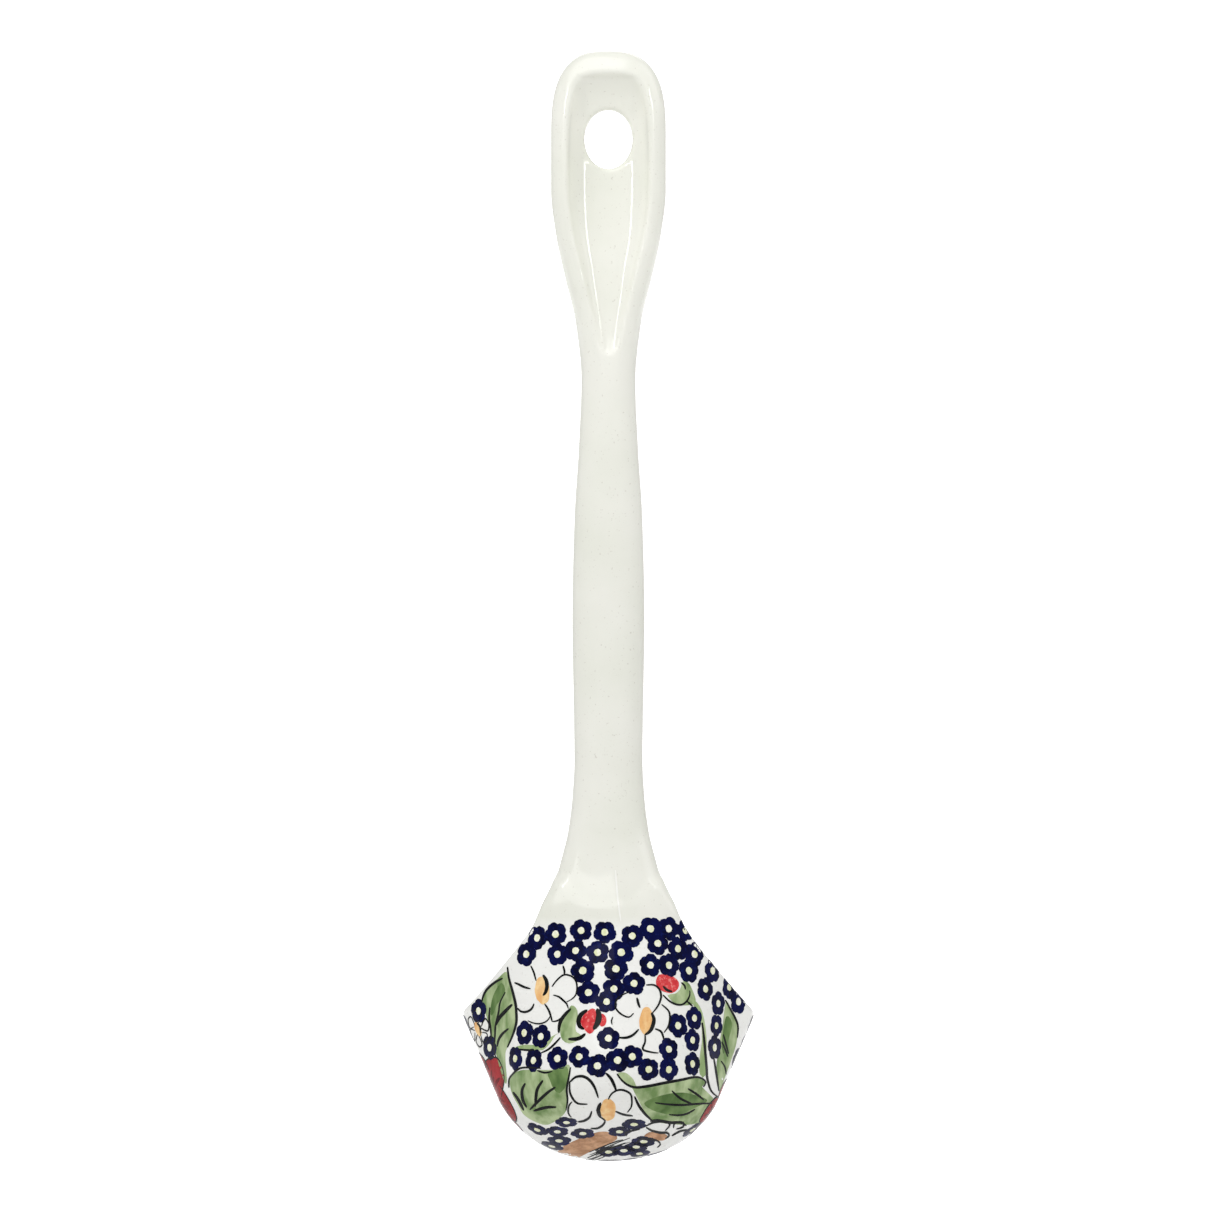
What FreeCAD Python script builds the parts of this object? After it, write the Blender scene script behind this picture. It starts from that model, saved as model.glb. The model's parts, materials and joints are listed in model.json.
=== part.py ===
import FreeCAD, Part
import os

import Sketcher
from FreeCAD import Placement, Rotation, Vector

# A slip-cast stoneware ladle with two pouring lips, in millimetres.
# +Z points up along the handle and +Y is the side that the bowl opens to.
# The origin is the centre of the hanging hole. Heights below it are "drops".
SIZES = [
    # hanging hole and head of the handle
    ("hole_width", 13.1, "across the oval hanging hole"),
    ("hole_height", 16.0, "oval hanging hole, along the handle"),
    ("head_rise", 24.3, "top of the handle above the hole's centre"),
    ("head_width", 31.8, "widest part of the head"),
    ("head_depth", 13.4, "head, front to back"),
    ("head_drop", 9.0, "widest part of the head, below the hole's centre"),
    ("head_forward", 0.0, "middle line of the head, ahead of the hole's centre"),
    ("recess_width", 21.0, "scoop in the back of the head"),
    ("recess_rise", 18.3, "top edge of the scoop, above the hole's centre"),
    ("recess_drop", 59.0, "lower tip of the scoop, below the hole's centre"),
    ("web_depth", 5.2, "clay left between the scoop and the front, at the hole"),
    ("shoulder_width", 23.8, "head where it narrows to the neck"),
    ("shoulder_depth", 13.2, "front to back at that width"),
    ("shoulder_drop", 38.0, "that width, below the hole's centre"),
    ("shoulder_forward", 0.2, "middle line ahead of the head's, there"),
    # shaft of the handle, each station a width, a depth and a place
    ("neck_width", 15.2, "thinnest part of the handle"),
    ("neck_depth", 12.4, "neck, front to back"),
    ("neck_drop", 66.0, "neck, below the hole's centre"),
    ("neck_forward", 0.8, "middle line ahead of the head's, at the neck"),
    ("grip_width", 20.2, "swell of the shaft"),
    ("grip_depth", 14.6, "swell, front to back"),
    ("grip_drop", 128.0, "swell, below the hole's centre"),
    ("grip_forward", 2.6, "shaft's middle line ahead of the head's, at the swell"),
    ("wrist_width", 19.2, "shaft above the flare"),
    ("wrist_depth", 14.0, "shaft above the flare, front to back"),
    ("wrist_rise", 34.4, "that narrowing, above the joint with the bowl"),
    ("wrist_forward", 4.2, "shaft's middle line ahead of the head's, at the wrist"),
    ("flare_width", 24.8, "middle of the flare"),
    ("flare_depth", 13.2, "middle of the flare, front to back"),
    ("flare_rise", 10.9, "middle of the flare, above the joint with the bowl"),
    ("flare_forward", 2.2, "middle of the flare ahead of the head's middle line"),
    ("foot_width", 33.6, "end of the flare, where the handle meets the bowl"),
    ("foot_depth", 12.6, "end of the flare, front to back"),
    ("foot_back", 6.5, "back of the flare's end, behind the hole's axis"),
    ("joint_drop", 205.4, "joint between handle and bowl, below the hole's centre"),
    ("slip_depth", 0.6, "layer of luting slip in the joint"),
    # bowl
    ("lip_below", 33.4, "tips of the pouring lips, below the joint with the handle"),
    ("bowl_tilt", 28.0, "bowl's axis leans forward from the handle's line, degrees"),
    ("rim_radius", 35.0, "outside of the round part of the rim"),
    ("lip_reach", 40.6, "tip of a pouring lip from the bowl's axis"),
    ("lip_radius", 10.5, "rounding of a pouring lip's nose, at the rim"),
    ("bowl_depth", 38.1, "rim to the underside of the base"),
    ("base_radius", 13.5, "flat of the base"),
    ("corner_radius", 15.5, "outside rounding between base and wall"),
    ("wall", 4.2, "thickness of the bowl's wall"),
    ("floor", 5.0, "thickness of the bowl's base"),
    ("lip_slope", 0.42, "how far the lips lean out for each unit of height"),
    ("sweep_radius", 124.0, "hollow curve of the rim from the lips up to the handle"),
]

# Lengths that follow from the driving sizes.
# wrist_drop, flare_drop, lip_drop: those places, below the hole's centre.
# wall_slope: how far the round wall leans out for each unit of height.
# joint_level: height above the rim plane, along the bowl's axis, of the wall's back at the joint.
# bowl_forward: the bowl's axis ahead of the hole's axis, so that its back wall runs into the foot.
# collar: height of the raw wall above the rim plane, before the rim is cut.
WORKED = [
    ("wrist_drop", "=Sizes.joint_drop - Sizes.wrist_rise"),
    ("flare_drop", "=Sizes.joint_drop - Sizes.flare_rise"),
    ("lip_drop", "=Sizes.joint_drop + Sizes.lip_below"),
    (
        "wall_slope",
        "=tan(atan((Sizes.rim_radius - Sizes.base_radius) / (Sizes.bowl_depth - Sizes.corner_radius))"
        " - asin(Sizes.corner_radius / sqrt((Sizes.rim_radius - Sizes.base_radius)^2"
        " + (Sizes.bowl_depth - Sizes.corner_radius)^2)))",
    ),
    ("tilt_sin", "=sin(Sizes.bowl_tilt * 1 deg)"),
    ("tilt_cos", "=cos(Sizes.bowl_tilt * 1 deg)"),
    (
        "joint_level",
        "=(Sizes.lip_below - Sizes.rim_radius * Worked.tilt_sin)"
        " / (Worked.tilt_cos + Worked.wall_slope * Worked.tilt_sin)",
    ),
    (
        "bowl_forward",
        "=(Sizes.rim_radius + Worked.wall_slope * Worked.joint_level) * Worked.tilt_cos"
        " - Worked.joint_level * Worked.tilt_sin - Sizes.foot_back",
    ),
    ("collar", "=Worked.joint_level + 0.6 * Sizes.foot_width"),
]


def fill_sheet(name, rows):
    sheet = doc.addObject("Spreadsheet::Sheet", name)
    for number, row in enumerate(rows, start=1):
        sheet.set(f"A{number}", row[0])
        sheet.set(f"B{number}", str(row[1]))
        sheet.setAlias(f"B{number}", row[0])
        if len(row) > 2:
            sheet.set(f"C{number}", row[2])
    doc.recompute()
    return sheet


def new_sketch(name, place, turn="0"):
    # a sketch whose plane is turned about the X axis, from level to upright at 90 degrees
    sketch = doc.addObject("Sketcher::SketchObject", name)
    sketch.Placement = Placement(Vector(0, 0, 0), Rotation(Vector(1, 0, 0), 1))
    sketch.setExpression("Placement.Rotation.Angle", f"({turn}) * 1 deg")
    for axis, expression in place.items():
        sketch.setExpression(f"Placement.Base.{axis}", expression)
    return sketch


def drive(sketch, kind, where, expression, start):
    # adds one dimension to a sketch and binds it to the sheets
    index = sketch.addConstraint(Sketcher.Constraint(kind, *where, start))
    sketch.setExpression(f"Constraints[{index}]", expression)


def join_ends(sketch, curves):
    # joins the ends of curves that meet, found by where they were drawn
    meetings = {}
    for curve in curves:
        for end in (1, 2):
            point = sketch.getPoint(curve, end)
            meetings.setdefault((round(point.x), round(point.y)), []).append((curve, end))
    for pair in meetings.values():
        sketch.addConstraint(Sketcher.Constraint("Coincident", *pair[0], *pair[1]))


def draw_ellipse(sketch, half_width, half_height):
    # an ellipse about the sketch's origin, wider than it is high
    curve = sketch.addGeometry(Part.Ellipse(Vector(0, 0, 0), 10, 5))
    sketch.exposeInternalGeometry(curve)
    long_axis = curve + 1
    short_axis = curve + 2
    sketch.addConstraint(Sketcher.Constraint("Coincident", curve, 3, -1, 1))
    right = 1 if sketch.getPoint(long_axis, 1).x > 0 else 2
    sketch.addConstraint(Sketcher.Constraint("PointOnObject", long_axis, right, -1))
    drive(sketch, "DistanceX", (-1, 1, long_axis, right), half_width, 10)
    drive(sketch, "Distance", (short_axis,), f"2 * ({half_height})", 10)


def level_ellipse(name, half_width, half_depth, forward, height):
    # a level ellipse, its centre at the given place ahead of and above the origin
    sketch = new_sketch(name, {"y": forward, "z": height})
    draw_ellipse(sketch, half_width, half_depth)
    return sketch


def loft(name, sections):
    solid = doc.addObject("Part::Loft", name)
    solid.Sections = sections
    solid.Solid = True
    return solid


def extrusion(name, outline):
    # a solid that runs across the whole ladle from front to back
    solid = doc.addObject("Part::Extrusion", name)
    solid.Base = outline
    solid.DirMode = "Normal"
    solid.Solid = True
    solid.Symmetric = True
    solid.setExpression("LengthFwd", "4 * Sizes.lip_reach")
    return solid


def combine(kind, name, base, tool):
    solid = doc.addObject(f"Part::{kind}", name)
    solid.Base = base
    solid.Tool = tool
    return solid


def pot(name, rim, corner, depth, top):
    # the round pot as a solid: flat base, rounded corner, straight leaning wall up to the top
    place = {"y": "Worked.bowl_forward", "z": "-Worked.lip_drop"}
    section = new_sketch(f"{name}_section", place, "90 - Sizes.bowl_tilt")
    axis = section.addGeometry(Part.LineSegment(Vector(0, 35, 0), Vector(0, -37, 0)))
    flat = section.addGeometry(Part.LineSegment(Vector(0, -37, 0), Vector(17, -37, 0)))
    corner_circle = Part.Circle(Vector(17, -25, 0), Vector(0, 0, 1), 12)
    turn = section.addGeometry(Part.ArcOfCircle(corner_circle, -1.57, -0.23))
    side = section.addGeometry(Part.LineSegment(Vector(28.7, -27.7, 0), Vector(43, 35, 0)))
    lid = section.addGeometry(Part.LineSegment(Vector(43, 35, 0), Vector(0, 35, 0)))
    rim_point = section.addGeometry(Part.Point(Vector(35, 0, 0)), True)
    for constraint in (
        Sketcher.Constraint("PointOnObject", axis, 1, -2),
        Sketcher.Constraint("PointOnObject", axis, 2, -2),
        Sketcher.Constraint("Coincident", axis, 2, flat, 1),
        Sketcher.Constraint("Horizontal", flat),
        Sketcher.Constraint("Tangent", flat, 2, turn, 1),
        Sketcher.Constraint("Tangent", turn, 2, side, 1),
        Sketcher.Constraint("Coincident", side, 2, lid, 1),
        Sketcher.Constraint("Horizontal", lid),
        Sketcher.Constraint("Coincident", lid, 2, axis, 1),
        Sketcher.Constraint("PointOnObject", rim_point, 1, -1),
        Sketcher.Constraint("PointOnObject", rim_point, 1, side),
    ):
        section.addConstraint(constraint)
    drive(section, "DistanceY", (flat, 1, -1, 1), depth, 37)
    drive(section, "DistanceX", (flat, 1, flat, 2), "Sizes.base_radius", 17)
    drive(section, "Radius", (turn,), corner, 12)
    drive(section, "DistanceX", (-1, 1, rim_point, 1), rim, 35)
    drive(section, "DistanceY", (-1, 1, lid, 1), top, 35)

    solid = doc.addObject("Part::Revolution", name)
    solid.Source = section
    solid.Solid = True
    solid.Angle = 360
    solid.Axis = Vector(0, 0, 1)
    solid.setExpression("Axis.y", "Worked.tilt_sin")
    solid.setExpression("Axis.z", "Worked.tilt_cos")
    solid.setExpression("Base.y", "Worked.bowl_forward")
    solid.setExpression("Base.z", "-Worked.lip_drop")
    return solid


def lips(name, inset, top):
    # two upright cones that stand out of the round wall, one on each side, as the pouring lips
    radius = f"(Sizes.lip_radius - {inset})"
    low = f"(-{radius} / Sizes.lip_slope)"
    cones = []
    for side, word in ((-1, "left"), (1, "right")):
        cone = doc.addObject("Part::Cone", f"{word}_{name}")
        cone.Placement = Placement(Vector(0, 0, 0), Rotation(Vector(1, 0, 0), -1))
        cone.setExpression("Placement.Rotation.Angle", "-Sizes.bowl_tilt * 1 deg")
        cone.setExpression("Placement.Base.x", f"{side} * (Sizes.lip_reach - Sizes.lip_radius)")
        cone.setExpression("Placement.Base.y", f"Worked.bowl_forward + {low} * Worked.tilt_sin")
        cone.setExpression("Placement.Base.z", f"{low} * Worked.tilt_cos - Worked.lip_drop")
        cone.Radius1 = 0
        cone.setExpression("Radius2", f"{radius} + Sizes.lip_slope * {top}")
        cone.setExpression("Height", f"{top} - {low}")
        cones.append(cone)
    return cones


def fuse_all(name, solids):
    whole = doc.addObject("Part::MultiFuse", name)
    whole.Shapes = solids
    return whole


def front_rim_cut():
    # everything ahead of the bowl's axis and above the rim plane: the front rim is cut square to it
    block = doc.addObject("Part::Box", "front_rim_cut")
    block.Placement = Placement(Vector(0, 0, 0), Rotation(Vector(1, 0, 0), -1))
    block.setExpression("Placement.Rotation.Angle", "-Sizes.bowl_tilt * 1 deg")
    block.setExpression("Placement.Base.x", "-2 * Sizes.lip_reach")
    block.setExpression("Placement.Base.y", "Worked.bowl_forward")
    block.setExpression("Placement.Base.z", "-Worked.lip_drop")
    block.setExpression("Length", "4 * Sizes.lip_reach")
    block.setExpression("Width", "2 * Sizes.lip_reach")
    block.setExpression("Height", "2 * Sizes.lip_reach")
    return block


def back_rim_cut():
    # Seen from behind, the rim sweeps up in a hollow curve from each lip to the handle's foot.
    # This is all that lies above those two curves and the joint between them.
    outline = new_sketch("back_rim_line", {}, "90")
    corners = [(-41, -239), (-90, -239), (-90, -100), (90, -100), (90, -239), (41, -239)]
    lines = []
    for start, end in zip(corners, corners[1:]):
        segment = Part.LineSegment(Vector(*start, 0), Vector(*end, 0))
        lines.append(outline.addGeometry(segment))
    low_left, left, top, right, low_right = lines
    joint = outline.addGeometry(Part.LineSegment(Vector(17, -206, 0), Vector(-17, -206, 0)))
    sweeps = []
    for side in (-1, 1):
        points = [Vector(side * 41, -239, 0), Vector(side * 27, -223, 0), Vector(side * 17, -206, 0)]
        sweeps.append(outline.addGeometry(Part.Arc(*points)))
    join_ends(outline, [*lines, joint, *sweeps])
    for line in (low_left, low_right):
        outline.addConstraint(Sketcher.Constraint("Horizontal", line))
    for line in (left, right):
        outline.addConstraint(Sketcher.Constraint("Vertical", line))
    for line, mate in ((low_left, low_right), (joint, joint), (top, top)):
        outline.addConstraint(Sketcher.Constraint("Symmetric", line, 1, mate, 2, -2))
    drive(outline, "DistanceX", (-1, 1, low_right, 2), "Sizes.lip_reach", 41)
    drive(outline, "DistanceX", (-1, 1, joint, 1), "Sizes.foot_width / 2", 17)
    drive(outline, "DistanceX", (-1, 1, top, 2), "2 * Sizes.lip_reach", 90)
    drive(outline, "DistanceY", (low_right, 2, -1, 1), "Worked.lip_drop", 239)
    drive(outline, "DistanceY", (joint, 1, -1, 1), "Sizes.joint_drop + Sizes.slip_depth", 206)
    drive(outline, "DistanceY", (top, 1, -1, 1), "Worked.lip_drop - 3 * Sizes.lip_reach", 100)
    for sweep in sweeps:
        drive(outline, "Radius", (sweep,), "Sizes.sweep_radius", 124)
    return extrusion("back_rim_cut", outline)


def wall_back(drop):
    # place along Y of the back of the round wall, at a depth below the hole's centre
    level = (
        f"((Worked.lip_drop - ({drop}) - Sizes.rim_radius * Worked.tilt_sin)"
        " / (Worked.tilt_cos + Worked.wall_slope * Worked.tilt_sin))"
    )
    radius = f"(Sizes.rim_radius + Worked.wall_slope * {level})"
    return f"(Worked.bowl_forward - {radius} * Worked.tilt_cos + {level} * Worked.tilt_sin)"


def tongue():
    # thickens the back wall up to the handle's foot, and dies away down inside the wall
    top = "Sizes.joint_drop + Sizes.slip_depth"
    middle = "Sizes.joint_drop + 0.33 * Sizes.foot_width"
    low = "Sizes.joint_drop + 0.7 * Sizes.foot_width"
    foot_middle = "Sizes.foot_depth / 2 - Sizes.foot_back"
    return loft(
        "tongue",
        [
            level_ellipse(
                "tongue_top", "Sizes.foot_width / 2", "Sizes.foot_depth / 2", foot_middle, f"-({top})"
            ),
            level_ellipse(
                "tongue_middle",
                "0.44 * Sizes.foot_width",
                "0.36 * Sizes.foot_depth",
                f"{wall_back(middle)} + 0.36 * Sizes.foot_depth",
                f"-({middle})",
            ),
            level_ellipse(
                "tongue_low",
                "0.36 * Sizes.foot_width",
                "0.4 * Sizes.wall",
                f"{wall_back(low)} + 0.55 * Sizes.wall",
                f"-({low})",
            ),
        ],
    )


def make_bowl():
    outside = [
        pot("round_pot", "Sizes.rim_radius", "Sizes.corner_radius", "Sizes.bowl_depth", "Worked.collar"),
        *lips("lip", "0", "(0.5 * Sizes.lip_reach)"),
    ]
    inside = [
        pot(
            "round_hollow",
            "Sizes.rim_radius - Sizes.wall",
            "Sizes.corner_radius - Sizes.wall",
            "Sizes.bowl_depth - Sizes.floor",
            "Worked.collar + Sizes.wall",
        ),
        *lips("channel", "Sizes.wall", "(0.6 * Sizes.lip_reach)"),
    ]
    shell = combine("Cut", "raw_shell", fuse_all("outside", outside), fuse_all("inside", inside))
    shell = combine("Cut", "shell_with_front_rim", shell, front_rim_cut())
    shell = combine("Cut", "shell_with_rim", shell, back_rim_cut())
    return combine("Fuse", "bowl", shell, tongue())


def make_luting_slip():
    outline = level_ellipse(
        "slip_outline",
        "Sizes.foot_width / 2",
        "Sizes.foot_depth / 2",
        "Sizes.foot_depth / 2 - Sizes.foot_back",
        "-(Sizes.joint_drop + Sizes.slip_depth)",
    )
    layer = doc.addObject("Part::Extrusion", "luting_slip")
    layer.Base = outline
    layer.DirMode = "Normal"
    layer.Solid = True
    layer.setExpression("LengthFwd", "Sizes.slip_depth")
    return layer


def make_handle():
    # stations from the joint up: half width, half depth, middle ahead of the hole's axis, height
    stations = {}
    foot_middle = "Sizes.foot_depth / 2 - Sizes.foot_back"
    stations["foot"] = ["Sizes.foot_width / 2", "Sizes.foot_depth / 2", foot_middle, "-Sizes.joint_drop"]
    for name in ("flare", "wrist", "grip", "neck", "shoulder", "head"):
        sheet = "Worked" if name in ("flare", "wrist") else "Sizes"
        stations[name] = [
            f"Sizes.{name}_width / 2",
            f"Sizes.{name}_depth / 2",
            f"Sizes.{name}_forward",
            f"-{sheet}.{name}_drop",
        ]
    closing = {"crown": (0.92, 0.94, 0.6), "brow": (0.64, 0.66, 0.9), "top": (0.34, 0.26, 1)}
    for name, (width, depth, rise) in closing.items():
        stations[name] = [
            f"{width} * Sizes.head_width / 2",
            f"{depth} * Sizes.head_depth / 2",
            "Sizes.head_forward",
            f"{rise} * Sizes.head_rise",
        ]
    shaft = loft("shaft", [level_ellipse(f"{name}_outline", *at) for name, at in stations.items()])

    # scoop in the back of the head, deepest round the hole and fading out to a point at the neck
    back = "Sizes.head_depth / 2"
    deep = "(Sizes.head_depth - Sizes.web_depth)"
    scoop_stations = {
        "tip": ("0.4", "0.3", f"-0.92 * {back}", "-Sizes.recess_drop"),
        "throat": ("0.29 * Sizes.recess_width", f"0.45 * {deep}", f"-{back}", "-0.62 * Sizes.recess_drop"),
        "floor": ("0.5 * Sizes.recess_width", deep, f"-{back}", "-Sizes.head_drop"),
        "arch": ("0.43 * Sizes.recess_width", f"0.9 * {deep}", f"-{back}", "0.6 * Sizes.recess_rise"),
        "brink": ("0.22 * Sizes.recess_width", "0.8", f"-0.9 * {back}", "Sizes.recess_rise"),
    }
    scoop = loft("scoop", [level_ellipse(f"scoop_{name}", *at) for name, at in scoop_stations.items()])

    # The hole is higher than wide, so its sketch is turned to have the handle's line as its X.
    hole = doc.addObject("Sketcher::SketchObject", "hole_outline")
    hole.Placement = Placement(Vector(0, 0, 0), Rotation(Vector(0, 0, 1), Vector(1, 0, 0), Vector(0, 1, 0)))
    draw_ellipse(hole, "Sizes.hole_height / 2", "Sizes.hole_width / 2")
    scooped = combine("Cut", "scooped_shaft", shaft, scoop)
    return combine("Cut", "handle", scooped, extrusion("hanging_hole", hole))


doc = FreeCAD.newDocument("stoneware_ladle")
fill_sheet("Sizes", SIZES)
fill_sheet("Worked", WORKED)
parts = [make_bowl(), make_luting_slip(), make_handle()]
doc.recompute()

for item in doc.Objects:
    if {"Invalid", "Error"} & set(item.State):
        raise RuntimeError(f"{item.Label}: {item.State}")
for part in parts:
    if part.Shape.isNull() or not part.Shape.isValid() or len(part.Shape.Solids) != 1:
        raise RuntimeError(f"{part.Label} is not one valid solid")

os.makedirs("parts", exist_ok=True)
for part in parts:
    part.Shape.exportStep(f"parts/{part.Label}.step")
    box = part.Shape.optimalBoundingBox()
    print(
        f"{part.Label}: {part.Shape.Volume / 1000:.1f} cm3,"
        f" {box.XLength:.1f} x {box.YLength:.1f} x {box.ZLength:.1f} mm"
    )
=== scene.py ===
import json
import math
import random

import bmesh
import bpy
import numpy as np
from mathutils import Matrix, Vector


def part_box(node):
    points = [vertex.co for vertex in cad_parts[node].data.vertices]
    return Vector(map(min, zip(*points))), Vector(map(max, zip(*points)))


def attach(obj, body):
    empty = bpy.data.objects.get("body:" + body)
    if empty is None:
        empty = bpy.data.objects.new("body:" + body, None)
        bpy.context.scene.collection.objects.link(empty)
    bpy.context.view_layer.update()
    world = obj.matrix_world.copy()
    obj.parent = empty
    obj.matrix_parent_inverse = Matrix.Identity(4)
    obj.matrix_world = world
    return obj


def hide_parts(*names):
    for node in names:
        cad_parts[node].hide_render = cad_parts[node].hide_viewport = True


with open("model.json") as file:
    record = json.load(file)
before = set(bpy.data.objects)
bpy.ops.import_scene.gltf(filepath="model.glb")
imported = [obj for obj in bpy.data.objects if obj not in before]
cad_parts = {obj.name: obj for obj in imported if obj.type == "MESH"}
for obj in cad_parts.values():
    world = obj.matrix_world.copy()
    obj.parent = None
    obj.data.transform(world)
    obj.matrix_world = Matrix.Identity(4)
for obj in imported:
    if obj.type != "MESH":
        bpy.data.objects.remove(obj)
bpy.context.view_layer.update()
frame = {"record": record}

import openvdb
from mathutils import Vector
from mathutils.geometry import delaunay_2d_cdt

mm = 0.001

# places taken from the CAD frame, in mm
mounts = {mount["name"]: mount for mount in frame["record"]["mounts"]}
bowlLow, bowlHigh = [np.array(corner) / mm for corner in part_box("bowl")]
handleLow, handleHigh = [np.array(corner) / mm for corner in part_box("handle")]
footPoint = np.array(mounts["bowl_foot"]["pos_m"]) / mm
bowlUp = -np.array(mounts["bowl_foot"]["axis"])  # out of the bowl's mouth
bowlAhead = np.array([0.0, bowlUp[2], -bowlUp[1]])  # across the mouth, away from the handle
slipLow, slipHigh = [corner[2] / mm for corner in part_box("luting_slip")]
jointHeight = (slipLow + slipHigh) / 2

bowlShape = {
    "depth": 38.1,  # rim to underside, along the bowl's axis
    "wall": 4.3,
    "rimRadius": 34.9,
    "baseRadius": 13.5,
    "cornerRadius": 15.5,
    "lipReach": bowlHigh[0] + 0.1,
    "lipFoot": -38.0,  # where a lip's keel dies away, below the rim
    "lipSpread": 14.5,  # degrees
    "shoulderReach": 15.8,  # half width where the rim runs into the handle
    "sweepHollow": 1.14,  # how hollow the rim's line is from the handle down to a lip
    "blend": 5.0,  # softness of the join between handle and bowl
    "blendBehind": 3.0,
}
rimCentre = footPoint + bowlUp * bowlShape["depth"]

# the handle from its head down: place below the hole, half width, half depth, middle line ahead
handleShape = {
    "stations": [
        (30.0, 15.75, 6.6, 0.0), (0.0, 15.75, 6.7, 0.0), (-14.0, 15.75, 6.7, 0.0),
        (-25.4, 14.5, 6.6, 0.1), (-38.6, 11.7, 6.5, 0.3), (-50.0, 9.0, 6.3, 0.5),
        (-66.0, 7.45, 6.2, 0.8), (-84.5, 8.15, 6.6, 1.4), (-104.0, 9.35, 7.1, 2.0),
        (-132.0, 9.95, 7.3, 2.7), (-157.0, 9.55, 7.1, 3.8), (-170.0, 9.4, 7.0, 4.2),
        (-180.0, 9.9, 6.9, 3.8), (-189.6, 11.1, 6.7, 2.8), (-197.0, 12.9, 6.5, 1.5),
        (-206.0, 15.3, 6.3, -0.8), (-209.0, 15.8, 5.2, -2.4), (-213.0, 14.6, 3.9, -4.1),
        (-220.0, 10.0, 1.8, -6.9), (-230.0, 5.0, 0.8, -10.0),
    ],
    "tongueEnd": -228.0,
    "headSquareness": 2.5,
    "shaftSquareness": 2.1,
    "crownPower": 3.0,  # how square the top of the head is
    # scoop in the back of the head: place, half width, depth
    "scoop": [
        (19.0, 5.6, 1.2), (16.0, 8.6, 4.2), (11.0, 10.1, 6.8), (5.0, 10.9, 8.3), (-4.0, 11.3, 8.6),
        (-14.0, 11.2, 8.2), (-24.0, 10.2, 7.0), (-36.0, 7.4, 5.2), (-48.0, 4.6, 3.4), (-57.0, 2.4, 1.8),
        (-60.0, 1.2, 0.6),
    ],
    "holeHalfWidth": mounts["hanging_hole"]["dims"]["r_mm"],
    "holeHalfHeight": 8.0,
    "softEdge": 1.3,
}


def smoothCurve(rows, column, place):
    # a smooth line through one column of a list of rows, by place along the handle
    rows = sorted(rows)
    at = np.array([row[0] for row in rows])
    value = np.array([row[column] for row in rows])
    slope = np.diff(value) / np.diff(at)
    tangent = np.zeros_like(value)
    steady = slope[:-1] * slope[1:] > 0
    tangent[1:-1][steady] = 2 * slope[:-1][steady] * slope[1:][steady] / (slope[:-1] + slope[1:])[steady]
    place = np.clip(place, at[0], at[-1])
    index = np.clip(np.searchsorted(at, place) - 1, 0, len(at) - 2)
    step = (at[1:] - at[:-1])[index]
    t = (place - at[index]) / step
    return (
        value[index] * (1 + 2 * t) * (1 - t) ** 2
        + value[index + 1] * t * t * (3 - 2 * t)
        + step * (tangent[index] * t * (1 - t) ** 2 - tangent[index + 1] * t * t * (1 - t))
    )


def softUnion(a, b, width):
    h = np.clip(width - np.abs(a - b), 0, None) / width
    return np.minimum(a, b) - h * h * width / 4


def softCut(body, tool, width):
    return -softUnion(-body, tool, width)


# the wall is the straight line from the rim that just touches the rounded corner
spreadOut = bowlShape["rimRadius"] - bowlShape["baseRadius"]
rise = bowlShape["depth"] - bowlShape["cornerRadius"]
wallLean = math.atan(spreadOut / rise) - math.asin(bowlShape["cornerRadius"] / math.hypot(spreadOut, rise))


def lipSwell(turn, level):
    # how far a lip stands out of the round wall; turn is 0 at the handle and a right angle at a lip
    shape = bowlShape
    rise = (level - shape["lipFoot"]) / -shape["lipFoot"]
    rise = 0.5 * (rise + np.sqrt(rise * rise + 0.01))
    spread = np.exp(-(((np.degrees(turn) - 90) / shape["lipSpread"]) ** 2))
    return (shape["lipReach"] - shape["rimRadius"]) * np.clip(rise, 0, 1.4) * spread


def wallRadius(turn, level):
    return bowlShape["rimRadius"] + math.tan(wallLean) * level + lipSwell(turn, level)


def silhouette(height):
    # half width of the ware seen from behind, from the lips up to the handle's flare
    shape = bowlShape
    drop = np.clip((jointHeight - height) / (jointHeight - rimCentre[2]), 0, 1.2)
    spread = shape["lipReach"] + 0.5 - shape["shoulderReach"]
    sweep = shape["shoulderReach"] + spread * drop ** shape["sweepHollow"]
    flare = smoothCurve(handleShape["stations"], 1, height) - 0.25 * np.clip(height - jointHeight, 0, None)
    return np.where(height < jointHeight, sweep, flare)


def rimTable():
    # level of the rim above the lips' plane for each turn from the handle round to a lip
    turns = np.radians(np.linspace(0, 90, 91))
    low = np.full_like(turns, -5.0)
    high = np.full_like(turns, 34.0)
    for _ in range(40):
        level = (low + high) / 2
        radius = wallRadius(turns, level)
        height = rimCentre[2] - radius * np.cos(turns) * bowlAhead[2] + level * bowlUp[2]
        outside = radius * np.sin(turns) > silhouette(height)
        high = np.where(outside, level, high)
        low = np.where(outside, low, level)
    # behind the handle's foot the wall stops inside the clay of the handle
    cover = np.clip((np.degrees(turns) - 9) / 15, 0, 1)
    levels = np.minimum(low, 14 + 10 * cover * cover * (3 - 2 * cover))
    levels = np.convolve(np.pad(levels, 3, mode="edge"), np.ones(7) / 7, mode="valid")
    slope = np.gradient(levels, turns) / wallRadius(turns, levels)
    return turns, levels - levels[-1], 1 / np.sqrt(1 + slope * slope)


rimTurns, rimLevels, rimSlopes = rimTable()


def bowlFrame(x, y, z):
    # place in the bowl's own frame: across, ahead and above the rim's centre
    dy = y - rimCentre[1]
    dz = z - rimCentre[2]
    return x, dy * bowlAhead[1] + dz * bowlAhead[2], dy * bowlUp[1] + dz * bowlUp[2]


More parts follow.
